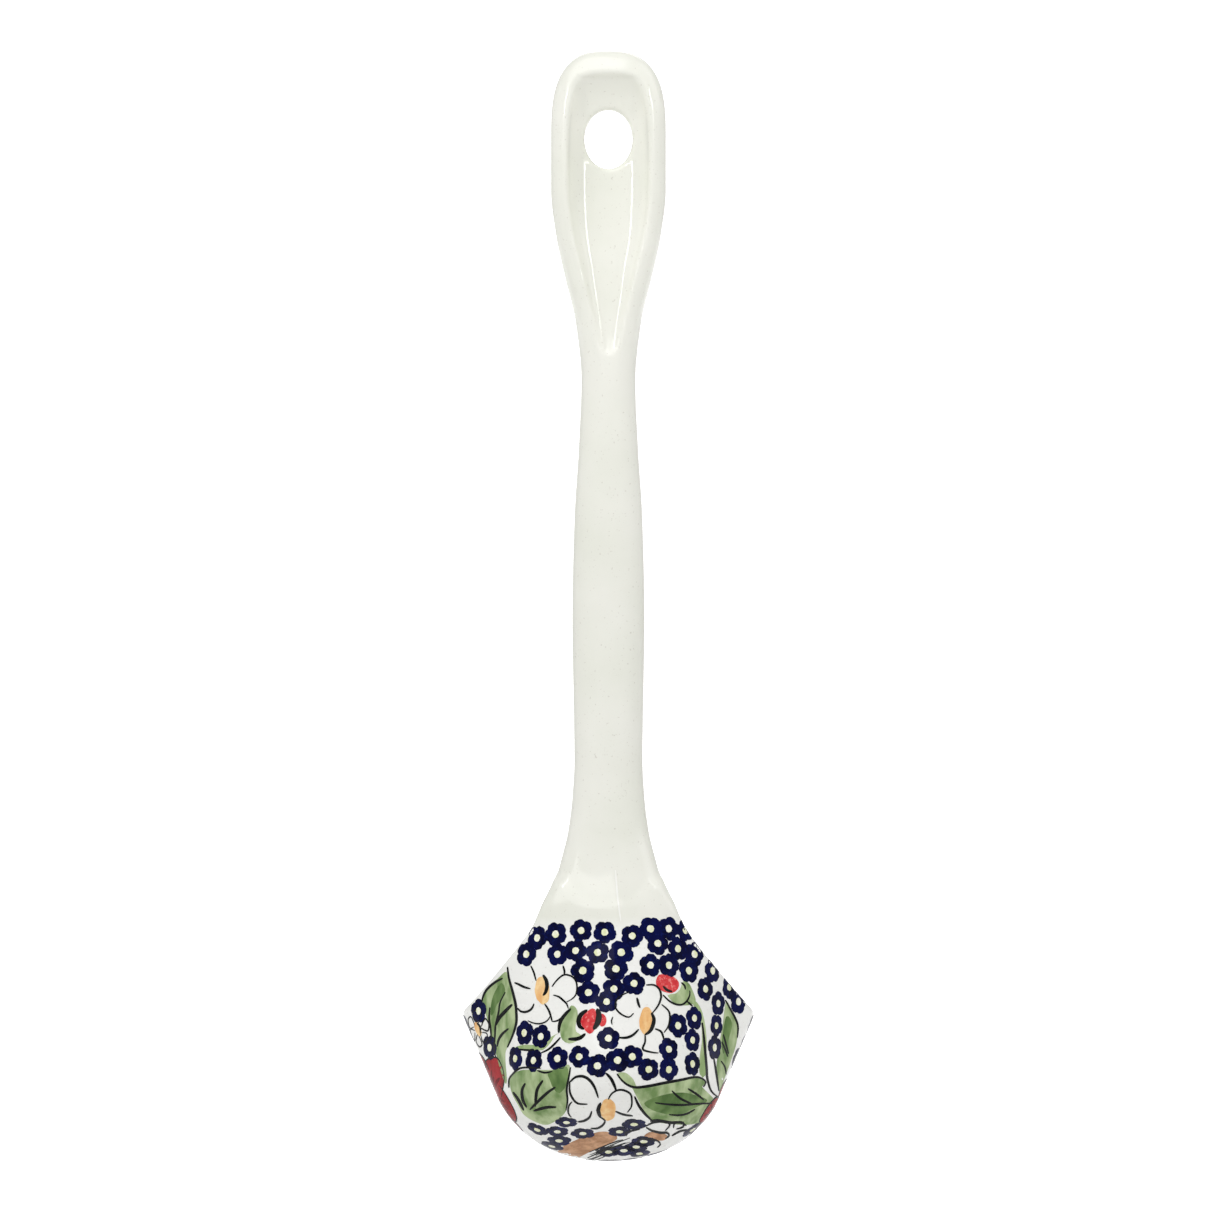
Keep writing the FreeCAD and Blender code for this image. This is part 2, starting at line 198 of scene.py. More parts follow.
def outsideField(x, y, z):
    # distance outside the bowl's outer face, as if it had no rim
    shape = bowlShape
    across, ahead, level = bowlFrame(x, y, z)
    radius = np.hypot(across, ahead)
    turn = np.arctan2(np.abs(across), -ahead)
    radius = radius - lipSwell(turn, level)
    corner = shape["cornerRadius"]
    dx = radius - shape["baseRadius"]
    dz = level + shape["depth"] - corner
    wall = (radius - shape["rimRadius"]) * math.cos(wallLean) - level * math.sin(wallLean)
    floor = -dz - corner
    inCorner = (dx > 0) & (dx * math.sin(wallLean) + dz * math.cos(wallLean) < 0)
    field = np.where(inCorner, np.hypot(dx, dz) - corner, np.maximum(wall, floor))
    return field, turn, level


def bowlField(x, y, z):
    field, turn, level = outsideField(x, y, z)
    half = bowlShape["wall"] / 2
    middle = field + half
    rim = np.interp(turn, rimTurns, rimLevels)
    above = (level - rim) * np.interp(turn, rimTurns, rimSlopes) + half
    return np.hypot(middle, np.clip(above, 0, None)) - half


def handleField(x, y, z):
    shape = handleShape
    wide = smoothCurve(shape["stations"], 1, z)
    deep = smoothCurve(shape["stations"], 2, z)
    ahead = smoothCurve(shape["stations"], 3, z)
    headShare = np.clip((z + 70) / 50, 0, 1)
    power = shape["shaftSquareness"] + (shape["headSquareness"] - shape["shaftSquareness"]) * headShare
    crown = np.clip(z / handleHigh[2], 0, None) ** shape["crownPower"]
    end = np.clip((shape["tongueEnd"] + 8 - z) / 8, 0, None) ** 2
    total = (np.abs(x) / wide) ** power + (np.abs(y - ahead) / deep) ** power + crown + end
    solid = (total ** (1 / power) - 1) * deep

    half = smoothCurve(shape["scoop"], 1, z)
    depth = smoothCurve(shape["scoop"], 2, z)
    brink = np.clip((z - 16.5) / 2.5, 0, None) ** 2 + np.clip((-57 - z) / 3, 0, None) ** 2
    back = y - ahead + shape["stations"][1][2]
    scoop = ((np.abs(x) / half) ** 2.6 + (np.abs(back) / depth) ** 2.2 + brink) ** 0.45 - 1
    solid = softCut(solid, scoop * np.minimum(half, depth), shape["softEdge"])
    hole = (np.hypot(x / shape["holeHalfWidth"], z / shape["holeHalfHeight"]) - 1) * shape["holeHalfWidth"]
    return softCut(solid, hole, shape["softEdge"])


def wareField(points):
    # negative inside the fired clay and glaze, positive outside
    x, y, z = points
    inFront = 1 / (1 + np.exp(-(y + 2.5) / 1.2))
    blend = bowlShape["blendBehind"] + (bowlShape["blend"] - bowlShape["blendBehind"]) * inFront
    return softUnion(bowlField(x, y, z), handleField(x, y, z), blend)


def slopeOf(points, step=0.05):
    slope = np.empty_like(points)
    for axis in range(3):
        shift = np.zeros((3, 1))
        shift[axis] = step
        slope[axis] = (wareField(points + shift) - wareField(points - shift)) / (2 * step)
    return slope


def unitNormal(points):
    slope = slopeOf(points)
    return slope / np.linalg.norm(slope, axis=0)


def settle(points, rounds=3):
    # moves points onto the ware's surface by the shortest way
    for _ in range(rounds):
        slope = slopeOf(points)
        points = points - slope * wareField(points) / np.maximum((slope * slope).sum(0), 0.05)
    return points


def wareMesh(cell=0.95):
    low = np.minimum(bowlLow, handleLow) - 4
    high = np.maximum(bowlHigh, handleHigh) + 4
    axes = [np.arange(a, b, cell) for a, b in zip(low, high)]
    x, y, z = np.meshgrid(*axes, indexing="ij")
    field = wareField((x, y, z)).astype(np.float32)
    grid = openvdb.FloatGrid(cell * 3)
    grid.copyFromArray(field / cell)
    vertices, quads = grid.convertToQuads(0.0)
    points = np.array(vertices, dtype=float).T * cell + low[:, None]
    for _ in range(4):  # even out the cells while keeping them on the surface
        points = settle(points, 1)
        total = np.zeros_like(points)
        count = np.zeros(points.shape[1])
        for a, b in ((0, 1), (1, 2), (2, 3), (3, 0)):
            for first, second in ((quads[:, a], quads[:, b]), (quads[:, b], quads[:, a])):
                np.add.at(total.T, first, points.T[second])
                np.add.at(count, first, 1)
        points = points + 0.5 * (total / count - points)
    return settle(points, 4), quads


def plainMesh(name, points, faces):
    mesh = bpy.data.meshes.new(name)
    mesh.from_pydata((points.T * mm).tolist(), [], [tuple(face) for face in faces])
    mesh.update()
    return mesh


def splitWare():
    # one surface, parted at the luting joint into three closed pieces: handle, slip and bowl
    points, quads = wareMesh()
    whole = plainMesh("ware", points, quads)
    pieces = {}
    cuts = {
        "glazed_handle": [(slipHigh, 1)],
        "glazed_slip": [(slipHigh, -1), (slipLow, 1)],
        "glazed_bowl": [(slipLow, -1)],
    }
    for name, sides in cuts.items():
        work = bmesh.new()
        work.from_mesh(whole)
        for height, side in sides:
            bmesh.ops.bisect_plane(
                work,
                geom=[*work.verts, *work.edges, *work.faces],
                plane_co=(0, 0, height * mm),
                plane_no=(0, 0, side),
                clear_inner=True,
                dist=0.00002,
            )
        border = [edge for edge in work.edges if edge.is_boundary]
        bmesh.ops.holes_fill(work, edges=border)
        for face in work.faces:
            face.smooth = True
        for edge in border:
            edge.smooth = False
        mesh = bpy.data.meshes.new(name)
        work.to_mesh(mesh)
        work.free()
        piece = bpy.data.objects.new(name, mesh)
        bpy.context.collection.objects.link(piece)
        giveTrueNormals(mesh)
        pieces[name] = piece
    return pieces


def giveTrueNormals(mesh):
    points = np.empty(len(mesh.vertices) * 3)
    mesh.vertices.foreach_get("co", points)
    normals = unitNormal(points.reshape(-1, 3).T / mm).T
    loopVertex = np.empty(len(mesh.loops), dtype=int)
    mesh.loops.foreach_get("vertex_index", loopVertex)
    loopNormals = normals[loopVertex]
    for face in mesh.polygons:
        fromJoint = min(abs(face.center.z / mm - height) for height in (slipLow, slipHigh))
        if abs(face.normal.z) > 0.99 and fromJoint < 0.05:
            loopNormals[face.loop_start : face.loop_start + face.loop_total] = face.normal
    mesh.normals_split_custom_set(loopNormals)


ware = splitWare()
print("ware", {name: len(piece.data.polygons) for name, piece in ware.items()})


eye = np.array([0.0, -3000.0, -128.0])  # where the back of the bowl is looked at from, in mm


def seenFromBehind(flat):
    # flat drawing, across and up in mm, laid on the ware as it is seen from behind
    target = np.array([flat[:, 0], np.zeros(len(flat)), flat[:, 1]])
    ray = target - eye[:, None]
    ray /= np.linalg.norm(ray, axis=0)
    points = target - ray * 60
    nearest = points.copy()
    gap = np.full(len(flat), 1e9)
    for _ in range(70):
        field = wareField(points)
        better = (np.abs(field) < gap) & (gap > 0.02)
        nearest[:, better] = points[:, better]
        gap = np.where(better, np.abs(field), gap)
        points = points + ray * np.clip(field, -3, 8) * 0.9
    return settle(nearest)


def inBowl(across, ahead, level):
    return (
        rimCentre[:, None]
        + np.array([1.0, 0, 0])[:, None] * across
        + bowlAhead[:, None] * ahead
        + bowlUp[:, None] * level
    )


def aroundBowl(turn, level, inside=False):
    # a canvas wrapped round the wall; turn is degrees from the handle, positive to the right from behind
    def place(flat):
        low = level + flat[:, 1]
        middle = wallRadius(np.radians(abs(turn)), level)
        angle = np.radians(turn) + flat[:, 0] / middle * (-1 if inside else 1)
        radius = wallRadius(np.abs(angle), low) - (bowlShape["wall"] if inside else 0)
        return settle(inBowl(radius * np.sin(angle), -radius * np.cos(angle), low), 5)

    return place


def onFloor(turn, inside):
    # a flat canvas on the bowl's base, outside or inside
    level = -bowlShape["depth"] + (bowlShape["wall"] if inside else 0)

    def place(flat):
        c, s = math.cos(math.radians(turn)), math.sin(math.radians(turn))
        across = c * flat[:, 0] - s * flat[:, 1]
        ahead = s * flat[:, 0] + c * flat[:, 1]
        return settle(inBowl(across, ahead, np.full(len(flat), level)), 5)

    return place


# each colour's height above the ware, in mm: later washes lie over earlier ones
paintHeight = {
    "leaf_green": 0.05,
    "shade_green": 0.065,
    "stem_green": 0.055,
    "poppy_red": 0.05,
    "poppy_shade": 0.062,
    "bud_red": 0.07,
    "ochre": 0.06,
    "tan_wash": 0.05,
    "black_line": 0.09,
    "rim_brown": 0.04,
    "clay_seam": 0.05,
}
underneath = -0.06
drawings = {}  # colour: list of (canvas, flat points, faces, height of each point)


def smoothLoop(corners, closed=True, step=0.7):
    corners = np.array(corners, dtype=float)
    count = len(corners)
    spans = count if closed else count - 1
    line = []
    for k in range(spans):
        if closed:
            a, b, c, d = (corners[(k + shift) % count] for shift in (-1, 0, 1, 2))
        else:
            a, b, c, d = (corners[min(max(k + shift, 0), count - 1)] for shift in (-1, 0, 1, 2))
        pieces = max(2, int(np.linalg.norm(c - b) / step))
        t = np.linspace(0, 1, pieces, endpoint=False)[:, None]
        square, cube = 2 * a - 5 * b + 4 * c - d, 3 * b - a - 3 * c + d
        line.append(0.5 * (2 * b + (c - a) * t + square * t * t + cube * t**3))
    if not closed:
        line.append(corners[-1:])
    return np.vstack(line)


def wash(colour, canvas, corners):
    # a filled patch of colour with a smooth edge
    edge = smoothLoop(corners)
    low, high = edge.min(0), edge.max(0)
    spacing = 0.8
    lanes = [np.arange(low[axis], high[axis], spacing) for axis in (0, 1)]
    grid = np.stack(np.meshgrid(*lanes), -1).reshape(-1, 2) + 0.3
    after = np.roll(edge, -1, 0)
    x, y = grid[:, :1], grid[:, 1:]
    crosses = (edge[:, 1] > y) != (after[:, 1] > y)
    rise = after[:, 1] - edge[:, 1]
    rise = np.where(np.abs(rise) < 1e-9, 1e-9, rise)
    cut = (after[:, 0] - edge[:, 0]) * (y - edge[:, 1]) / rise + edge[:, 0]
    within = (crosses & (x < cut)).sum(1) % 2 == 1
    clear = np.min(np.hypot(x - edge[:, 0], y - edge[:, 1]), 1) > 0.4
    grid = grid[within & clear]
    points = [Vector(point) for point in np.vstack([edge, grid])]
    loop = [list(range(len(edge)))]
    flat, _, faces, *_ = delaunay_2d_cdt(points, [], loop, 1, 1e-5)
    flat = np.array([tuple(point) for point in flat])
    drawings.setdefault(colour, []).append((canvas, flat, np.array([tuple(face) for face in faces])))


def stroke(canvas, corners, width, colour="black_line", taper=0.35):
    # one pull of a loaded brush: full in the middle, thinner at its ends
    line = smoothLoop(corners, closed=False, step=0.5)
    run = np.gradient(line, axis=0)
    run /= np.maximum(np.linalg.norm(run, axis=1), 1e-9)[:, None]
    side = np.stack([-run[:, 1], run[:, 0]], 1)
    t = np.linspace(0, 1, len(line))
    half = width / 2 * (taper + (1 - taper) * np.sin(np.pi * np.clip(t * 0.94 + 0.05, 0, 1)) ** 0.6)
    flat = np.stack([line - side * half[:, None], line, line + side * half[:, None]], 1).reshape(-1, 2)
    first = line[0] - run[0] * half[0]
    last = line[-1] + run[-1] * half[-1]
    flat = np.vstack([flat, first, last])
    faces = []
    for k in range(len(line) - 1):
        for lane in (0, 1):
            a = 3 * k + lane
            faces += [(a, a + 3, a + 1), (a + 1, a + 3, a + 4)]
    end = 3 * len(line)
    faces += [(end, 0, 1), (end, 1, 2), (end + 1, end - 2, end - 3), (end + 1, end - 1, end - 2)]
    drawings.setdefault(colour, []).append((canvas, flat, np.array(faces)))


def oval(centre, half, lean=0, count=20, wobble=0.04, seed=1):
    pick = random.Random(seed)
    turn = math.radians(lean)
    points = []
    for k in range(count):
        a = 2 * math.pi * k / count
        grow = 1 + pick.uniform(-wobble, wobble)
        x, y = half[0] * math.cos(a) * grow, half[1] * math.sin(a) * grow
        across = centre[0] + x * math.cos(turn) - y * math.sin(turn)
        points.append((across, centre[1] + x * math.sin(turn) + y * math.cos(turn)))
    return points


def filmMesh(name, parts, height):
    # a closed film over the ware: its top at a small height, its underside just inside the ware
    canvases = []
    for part in parts:
        if part[0] not in canvases:
            canvases.append(part[0])
    verts, faces, offset = [], [], 0
    for canvas in canvases:
        own = [part for part in parts if part[0] is canvas]
        flat = np.vstack([part[1] for part in own])
        settled = canvas(flat)
        normal = unitNormal(settled)
        start = 0
        for _, piece, triangles in own:
            span = slice(start, start + len(piece))
            start += len(piece)
            base, out = settled[:, span], normal[:, span]
            a, b, c = (base[:, triangles[:, k]].T for k in range(3))
            facing = np.einsum("ij,ij->i", np.cross(b - a, c - a), out[:, triangles[:, 0]].T)
            triangles = np.where((facing < 0)[:, None], triangles[:, ::-1], triangles)
            edges = {(tri[k], tri[(k + 1) % 3]): True for tri in triangles.tolist() for k in range(3)}
            count = len(piece)
            verts += [base + out * height, base + out * underneath]
            faces += (triangles + offset).tolist()
            faces += (triangles[:, ::-1] + offset + count).tolist()
            for p, q in edges:
                if (q, p) not in edges:
                    p, q = p + offset, q + offset
                    faces.append([q, p, p + count, q + count])
            offset += 2 * count
    points = np.hstack(verts)
    return plainMesh(name, points, faces)


brushWeight = 1.4  # thicker or thinner outlines
# each motif seen from behind: outlines by their width and washes by their kind, points across and up
brushwork = {
    "daisyA": [
        (0.35, [(-21.2, -226.2), (-20.4, -228), (-19.8, -230.2)]),
        (0.45, [(-25.6, -230.8), (-24.6, -231.2), (-23, -232), (-21.4, -232.4)]),
        (0.45, [
            (-24.8, -237.8), (-24, -238.6), (-22.8, -238.8), (-21.6, -238.4), (-20.8, -237.6),
            (-20.4, -236.6),
        ]),
        (0.35, [
            (-15.4, -231.8), (-14.2, -230.2), (-12.6, -228.8), (-11.4, -228.6), (-9.8, -229.2),
            (-8.8, -230.6), (-8.6, -232.4), (-9, -234.2), (-10.2, -235.4), (-11.4, -236),
        ]),
        (0.4, [(-15, -234.2), (-13.6, -234.6), (-12.4, -235.6), (-11.4, -236.6), (-11, -237.8)]),
        (0.4, [(-17.4, -236.6), (-16.4, -238.2), (-15.8, -239.8), (-15.4, -241.4)]),
        (0.35, [(-15.4, -241.4), (-14, -241.2), (-12.6, -240.2), (-11.6, -239)]),
        (0.4, [(-12.4, -226.2), (-12, -227.8), (-12.2, -228.8)]),
        (0.3, [
            (-22, -241.2), (-20.6, -241.8), (-19, -242), (-17.4, -241.6), (-16.4, -240.8), (-16, -240),
        ]),
        (0.75, [(-17.8, -228.8), (-17, -230.2), (-16.8, -232), (-17.2, -233.4), (-17.8, -234.2)]),
    ],
    "daisyB": [
        (0.35, [
            (6.8, -239.2), (5.6, -240.2), (3.8, -239.6), (2.4, -238.4), (1.8, -237), (2.4, -235.2),
            (4, -234), (6, -233.2),
        ]),
        (0.5, [(7.8, -235), (8.2, -236.6), (8.6, -237.6)]),
        (0.4, [
            (10.4, -231.4), (12.4, -231.4), (13.8, -232.4), (14.4, -234.4), (13.8, -236.6),
            (12.6, -238.4), (11.8, -239.2),
        ]),
        (0.3, [(1.2, -240.2), (0.8, -241.2), (1, -242.2)]),
        (0.5, [(8.2, -243.6), (6.8, -245), (5, -245.8), (2.8, -245.8)]),
        (0.4, [(10, -245), (10, -247), (9.4, -249), (11.8, -249.8), (13.6, -250)]),
        (0.4, [(12.8, -243.4), (14.2, -244), (14.8, -245), (15.2, -246.6)]),
        (0.35, [
            (14.6, -236.8), (15.8, -237.8), (16.6, -238.8), (16.8, -240.4), (16.4, -242.6),
            (15.2, -244.4),
        ]),
        (0.75, [(11.8, -239.2), (12.4, -240.6), (12.2, -242.2), (11.4, -244), (10, -245)]),
    ],
    "daisyC": [
        (0.55, [
            (-10.4, -257.8), (-9, -256.6), (-7, -256.4), (-5.2, -257.4), (-3.8, -259.4), (-2.8, -262.2),
        ]),
        (0.4, [(-10.6, -257.8), (-10.6, -260.4), (-9.8, -262.4), (-8.4, -263.8), (-5.8, -264)]),
        (0.35, [(-10, -263.4), (-10.8, -264.4), (-11, -266.4), (-10.2, -267.6)]),
        (0.45, [(-4.6, -266), (-5.2, -267.6), (-6.8, -268.6), (-8.4, -268.8)]),
        (0.8, [(-2.2, -263.8), (-2.8, -265.6), (-2.2, -267.6)]),
        (0.4, [(-2.2, -267.6), (-1, -268.4), (-1.4, -269.6), (-3, -270.6), (-4.8, -270.6)]),
        (0.6, [(-0.6, -255.6), (0.8, -257.2), (1.8, -259.4), (2, -260.2)]),
        (0.4, [
            (0, -262.6), (0.8, -261.2), (2.4, -260.2), (4.2, -260.2), (6, -261.2), (6.4, -263),
            (6.2, -264.8), (5.2, -266.2),
        ]),
        (0.4, [(2, -266), (4, -266.8), (6.6, -267.2)]),
    ],
    "daisyD": [
        (0.45, [
            (10.4, -270.4), (11.8, -271.2), (14.2, -271.8), (16, -271.8), (16.6, -272.6), (15.6, -273.4),
        ]),
        (0.4, [(10.2, -270), (12.4, -269), (15.2, -268.8), (16.8, -269.6), (15.6, -271.2)]),
        (0.4, [(7.6, -274.8), (8.6, -273.6), (10.8, -273.4), (13.4, -274), (14.2, -275), (13.4, -275.8)]),
        (0.35, [(5, -272.6), (4.6, -271.8), (6.8, -271.2), (8.6, -270.8)]),
        (0.4, [(17.8, -270.4), (18.2, -269), (20.4, -269), (20.4, -270.2), (18.6, -270.8)]),
        (0.4, [(17.4, -272.6), (19.6, -271.4), (21.8, -271)]),
    ],
    "budOne": [
        ("leaf", [
            (-10.2, -237), (-8.8, -237.8), (-8.4, -239.6), (-9, -242.4), (-8.8, -244.2), (-7.4, -245.2),
            (-8.4, -246.6), (-10.8, -247.4), (-12.6, -246.4), (-13.2, -244.2), (-12.8, -241.8),
            (-11.6, -239.6),
        ]),
        ("stem", [
            (-13.2, -244.4), (-14.6, -245.2), (-16, -247.4), (-18, -249.2), (-20, -249.2), (-23, -249.2),
            (-25.2, -249.2), (-25.4, -248.4), (-23.2, -247.8), (-20, -247.8), (-18, -247.8),
            (-16, -245.8),
        ]),
        (0.7, [(-10.4, -238), (-11.6, -239.2), (-12.8, -240.8), (-13.4, -242.4), (-13.6, -244.4)]),
        (0.75, [(-10.8, -246.2), (-9, -246.2), (-7.6, -245.8), (-6.4, -244.8)]),
        (0.4, [(-13.2, -245.8), (-14.6, -247.4), (-16.4, -249), (-18.4, -250)]),
        (0.4, [(-24.6, -249), (-22.4, -249.2), (-20.4, -249.2)]),
        ("bud", [
            (-4.4, -237.8), (-6.4, -239.2), (-7.6, -241.2), (-7, -243), (-5.2, -244.8), (-3.8, -243.6),
            (-3, -241.2), (-3.2, -238.8),
        ]),
        ("bud", [(-1.8, -239.2), (-0.6, -240.4), (-0.8, -242.2), (-2, -242.8), (-2.8, -241.2)]),
        (0.9, [(-6, -238.4), (-7.6, -239.6), (-8.2, -241.4), (-7.8, -242.8), (-6.8, -243.4)]),
        (1.2, [(-3, -238.2), (-2.6, -239.8), (-3, -241.8), (-4, -243.4)]),
    ],
    "budTwo": [
        ("leaf", [
            (20.4, -230.4), (21.8, -230.8), (22.8, -232.4), (23.8, -236), (21.2, -237), (18.2, -236.4),
            (16.2, -234.2), (18.2, -233.8), (19.6, -232.6),
        ]),
        ("stem", [
            (22.6, -235.2), (24, -236), (25.4, -238.2), (26.4, -242.2), (26.8, -247.2), (26.6, -256),
            (25, -255.8), (25, -251), (25.6, -246.6), (25.4, -242.2), (24.6, -238.8), (23.4, -237.2),
        ]),
        ("bud", [
            (13.8, -228.6), (13, -230.2), (13.4, -232), (15, -233.2), (17.4, -233.6), (19, -232.4),
            (19.2, -230.6), (17.8, -229.2), (15.6, -228.6),
        ]),
        (0.4, [
            (15, -234.2), (16.4, -235.6), (18.2, -236.6), (20, -236.8), (21.4, -235.8), (22.2, -234.2),
            (22.2, -233),
        ]),
        (0.4, [(20, -230.8), (20.8, -231.6), (21, -232.6)]),
        (0.4, [(21.6, -236), (23, -237.2)]),
        (0.55, [(15, -231.8), (16, -232.8), (17.4, -233.2)]),
        (0.5, [
            (25.6, -241.8), (26, -245), (26.4, -249.4), (26.8, -253.8), (27, -256.8), (27.8, -259.8),
            (28.8, -261.2), (30, -262),
        ]),
        (0.4, [(28.8, -251.4), (29.4, -255), (30, -259), (30.2, -260.4)]),
    ],
    "leafOne": [
        ("leaf", [
            (-28, -227.8), (-27, -230.6), (-26, -234.6), (-25.2, -238.6), (-25.4, -242.4),
            (-26.4, -245.8), (-28, -249.2), (-28.2, -251.8), (-27.8, -257.8), (-28.4, -258),
            (-29.6, -254.4), (-31.2, -248.4), (-32.4, -243.2), (-33.6, -239.2), (-34.4, -235.8),
            (-34, -233.6), (-32.2, -231.2), (-30.2, -229.6),
        ]),
        ("shade", [
            (-29.2, -230.8), (-28.2, -232.6), (-28.8, -234.6), (-30.4, -236.6), (-31.4, -239.2),
            (-32.2, -239.6), (-32, -236.2), (-31, -233.2),
        ]),
        (0.5, [(-29, -229.6), (-31.2, -230.8), (-33.2, -232.6), (-34.2, -234.4), (-34.6, -236)]),
        (0.4, [(-32.4, -237.6), (-32.6, -240.4), (-32.2, -243.4), (-32, -246.2)]),
        (0.35, [
            (-28.2, -233.4), (-29.6, -236.2), (-30, -238.8), (-30.8, -242.2), (-31, -245.2),
            (-31.2, -249.2), (-30.8, -251.2),
        ]),
        (0.7, [(-26.4, -236.8), (-28.2, -238.6), (-29.8, -240.4), (-30.8, -242.4)]),
        (0.5, [(-27.4, -243.4), (-29, -244.8), (-30, -246.4), (-30.4, -248.2)]),
        (0.5, [
            (-27.6, -226.6), (-27.2, -229.6), (-26.2, -233.2), (-25.4, -236.6), (-25.2, -238.8),
            (-25.2, -241.8), (-26.2, -245.2), (-27.6, -248.4),
        ]),
    ],
    "leafTwo": [
        ("leaf", [
            (-27, -257.8), (-26.2, -256), (-24.2, -254.8), (-21.4, -254.6), (-15.4, -254.6),
            (-13.2, -254), (-10.8, -253.2), (-10.6, -255.4), (-10.8, -257.8), (-11.4, -260.4),
            (-11.2, -262.8), (-11.6, -265.8), (-13.4, -267.8), (-16.6, -269.6), (-19.6, -269),
            (-23, -267), (-24.6, -264.4), (-26.4, -261),
        ]),
        ("shade", [
            (-16.6, -255.4), (-14, -254.4), (-11.4, -253.8), (-11, -256.4), (-11.6, -259), (-13.4, -261),
            (-15, -259.8), (-16, -257.4),
        ]),
        (0.4, [
            (-27.2, -259.4), (-27.2, -257.4), (-26.2, -255.8), (-24.2, -254.2), (-21.6, -254),
            (-18.6, -254.2),
        ]),
        (0.4, [(-19.4, -254.8), (-17.4, -255.4), (-15.4, -255)]),
        (0.4, [(-10.4, -254), (-10.8, -256.4), (-11.4, -259.8), (-11.2, -263), (-11.6, -265.6)]),
        (0.6, [(-22.8, -258.4), (-23.6, -260.2), (-23.4, -262.8), (-22.4, -264.8)]),
        (0.6, [(-18, -257.6), (-19.4, -259.8), (-19.8, -262), (-20, -264.6)]),
        (0.6, [(-14.6, -259.4), (-16.6, -260.8), (-19, -263), (-21.4, -265.4)]),
        (0.6, [(-14.4, -264.8), (-16.4, -264.8), (-18.4, -265.2), (-20.4, -265.8)]),
        (0.6, [(-26, -260.8), (-24.6, -262.8), (-23.2, -265.6)]),
    ],
    "leafThree": [
        ("leaf", [
            (2.4, -255.8), (4.6, -255.4), (6.8, -257.2), (8.4, -259.4), (15.2, -258.2), (19.6, -257.4),
            (24, -256.6), (26.6, -258.2), (25.6, -259.2), (28.8, -262.6), (28.8, -264.6), (26.2, -268.2),
            (23.4, -269.4), (19.6, -269.6), (13.4, -269), (11.2, -268.2), (9.4, -265.2), (7.4, -261.4),
            (6.2, -259.2), (4.2, -258),
        ]),
        ("shade", [
            (9.8, -263.8), (13.8, -261.8), (19.6, -260.8), (24, -261.6), (27, -263), (23.6, -265),
            (18.6, -266.8), (13, -266),
        ]),
        (0.55, [
            (2.4, -255.8), (3.6, -257.4), (5.4, -258.8), (7.6, -259.4), (11.2, -259), (15.2, -258.2),
            (19.6, -257.4), (23.6, -256.6), (25.6, -257), (26.6, -258), (26, -259.2),
        ]),
        (0.45, [(28.2, -263.8), (25.6, -263.8), (23, -264), (19.6, -264.2), (16, -264), (12.8, -263.6)]),
        (0.45, [(17.4, -260.4), (19.6, -262.4), (23, -264)]),
        (0.45, [(21.8, -259.8), (24, -261.2), (26, -262.8)]),
        (0.4, [(16.6, -266.8), (19, -267), (21.4, -266.6), (23.6, -265.4)]),
        (0.55, [(7.2, -262), (8.2, -264.2), (9.8, -266.4), (11.8, -268.4)]),
        (0.6, [(11.6, -268.6), (13.4, -268.4), (16.8, -269), (19.6, -269), (21.2, -269.8)]),
    ],
    "leafFour": [
        ("leaf", [
            (32.2, -236), (33.8, -238.6), (35, -241), (35.4, -244), (34.8, -248), (33.4, -252.4),
            (31.8, -256.8), (30.4, -260.2), (29.6, -256.8), (29.6, -253.2), (30.2, -248), (31.2, -242.8),
        ]),
        ("shade", [
            (32.2, -240), (33.8, -241.8), (33.2, -245), (32.2, -248), (31.4, -250.2), (31, -246.6),
        ]),
        (0.4, [(32, -235.6), (33.2, -237.8), (34.6, -240.4), (35.4, -242.8), (35.2, -245.8)]),
        (0.35, [(31.4, -245), (32, -247.2), (32.8, -250.2)]),
        (0.35, [(31, -247), (31.8, -248.8), (32.6, -251)]),
        (0.3, [(30.8, -252.2), (31.8, -253.8), (32.2, -255.8)]),
    ],
}
fills = {"leaf": "leaf_green", "shade": "shade_green", "stem": "stem_green", "bud": "bud_red"}
for strokes in brushwork.values():
    for kind, corners in strokes:
        if kind in fills:
            wash(fills[kind], seenFromBehind, corners)
        else:
            stroke(seenFromBehind, corners, kind * brushWeight)

# the mould's seam, fettled away except just above the painting: a line lighter than the clay, a painted
# highlight along its ridge
stroke(seenFromBehind, [(1.9, -200), (2.3, -205), (2.7, -209), (3.4, -214)], 0.45, "clay_seam")

# centre, half width, half height and lean of each flower's heart
hearts = [
    ("ochre", (-18.1, -232.9), (2.0, 3.8), 4),
    ("ochre", (10.3, -241.2), (1.85, 3.8), -4),
    ("ochre", (-0.1, -265.5), (2.1, 3.0), 0),
    # the lowest heart lies under the bowl: its ochre is painted darker there, as painted shade
    ("tan_wash", (13.0, -272.8), (3.1, 1.2), -4),
]
for colour, centre, half, lean in hearts:
    wash(colour, seenFromBehind, oval(centre, half, lean))
# the ochre wash under the base, painted darker as painted shade over the real ochre
baseWash = [(-13.6, -276.4), (-2.6, -271.6), (2.4, -273.4), (-5.0, -277.0), (-10.4, -279.2)]
wash("tan_wash", seenFromBehind, baseWash)

featherShape = {
    "foot": (-7.0, -279.2),
    "tip": (7.0, -273.6),
    "count": 11,
    "spread": 2.6,
}


def feathering():
    # fine dry-brush lines under the base, side by side
    pick = random.Random(4)
    foot, tip = np.array(featherShape["foot"]), np.array(featherShape["tip"])
    across = np.array([-(tip - foot)[1], (tip - foot)[0]]) / np.linalg.norm(tip - foot)
    for k in range(featherShape["count"]):
        shift = across * featherShape["spread"] * (k / (featherShape["count"] - 1) - 0.5)
        start = foot + shift + (tip - foot) * pick.uniform(0, 0.3)
        end = foot + shift + (tip - foot) * pick.uniform(0.55, 1)
        middle = (start + end) / 2 + across * pick.uniform(-0.4, 0.4)
        stroke(seenFromBehind, [start, middle, end], pick.uniform(0.15, 0.32))


feathering()


def onRay(reach, angle):
    return reach * math.cos(angle), reach * math.sin(angle)


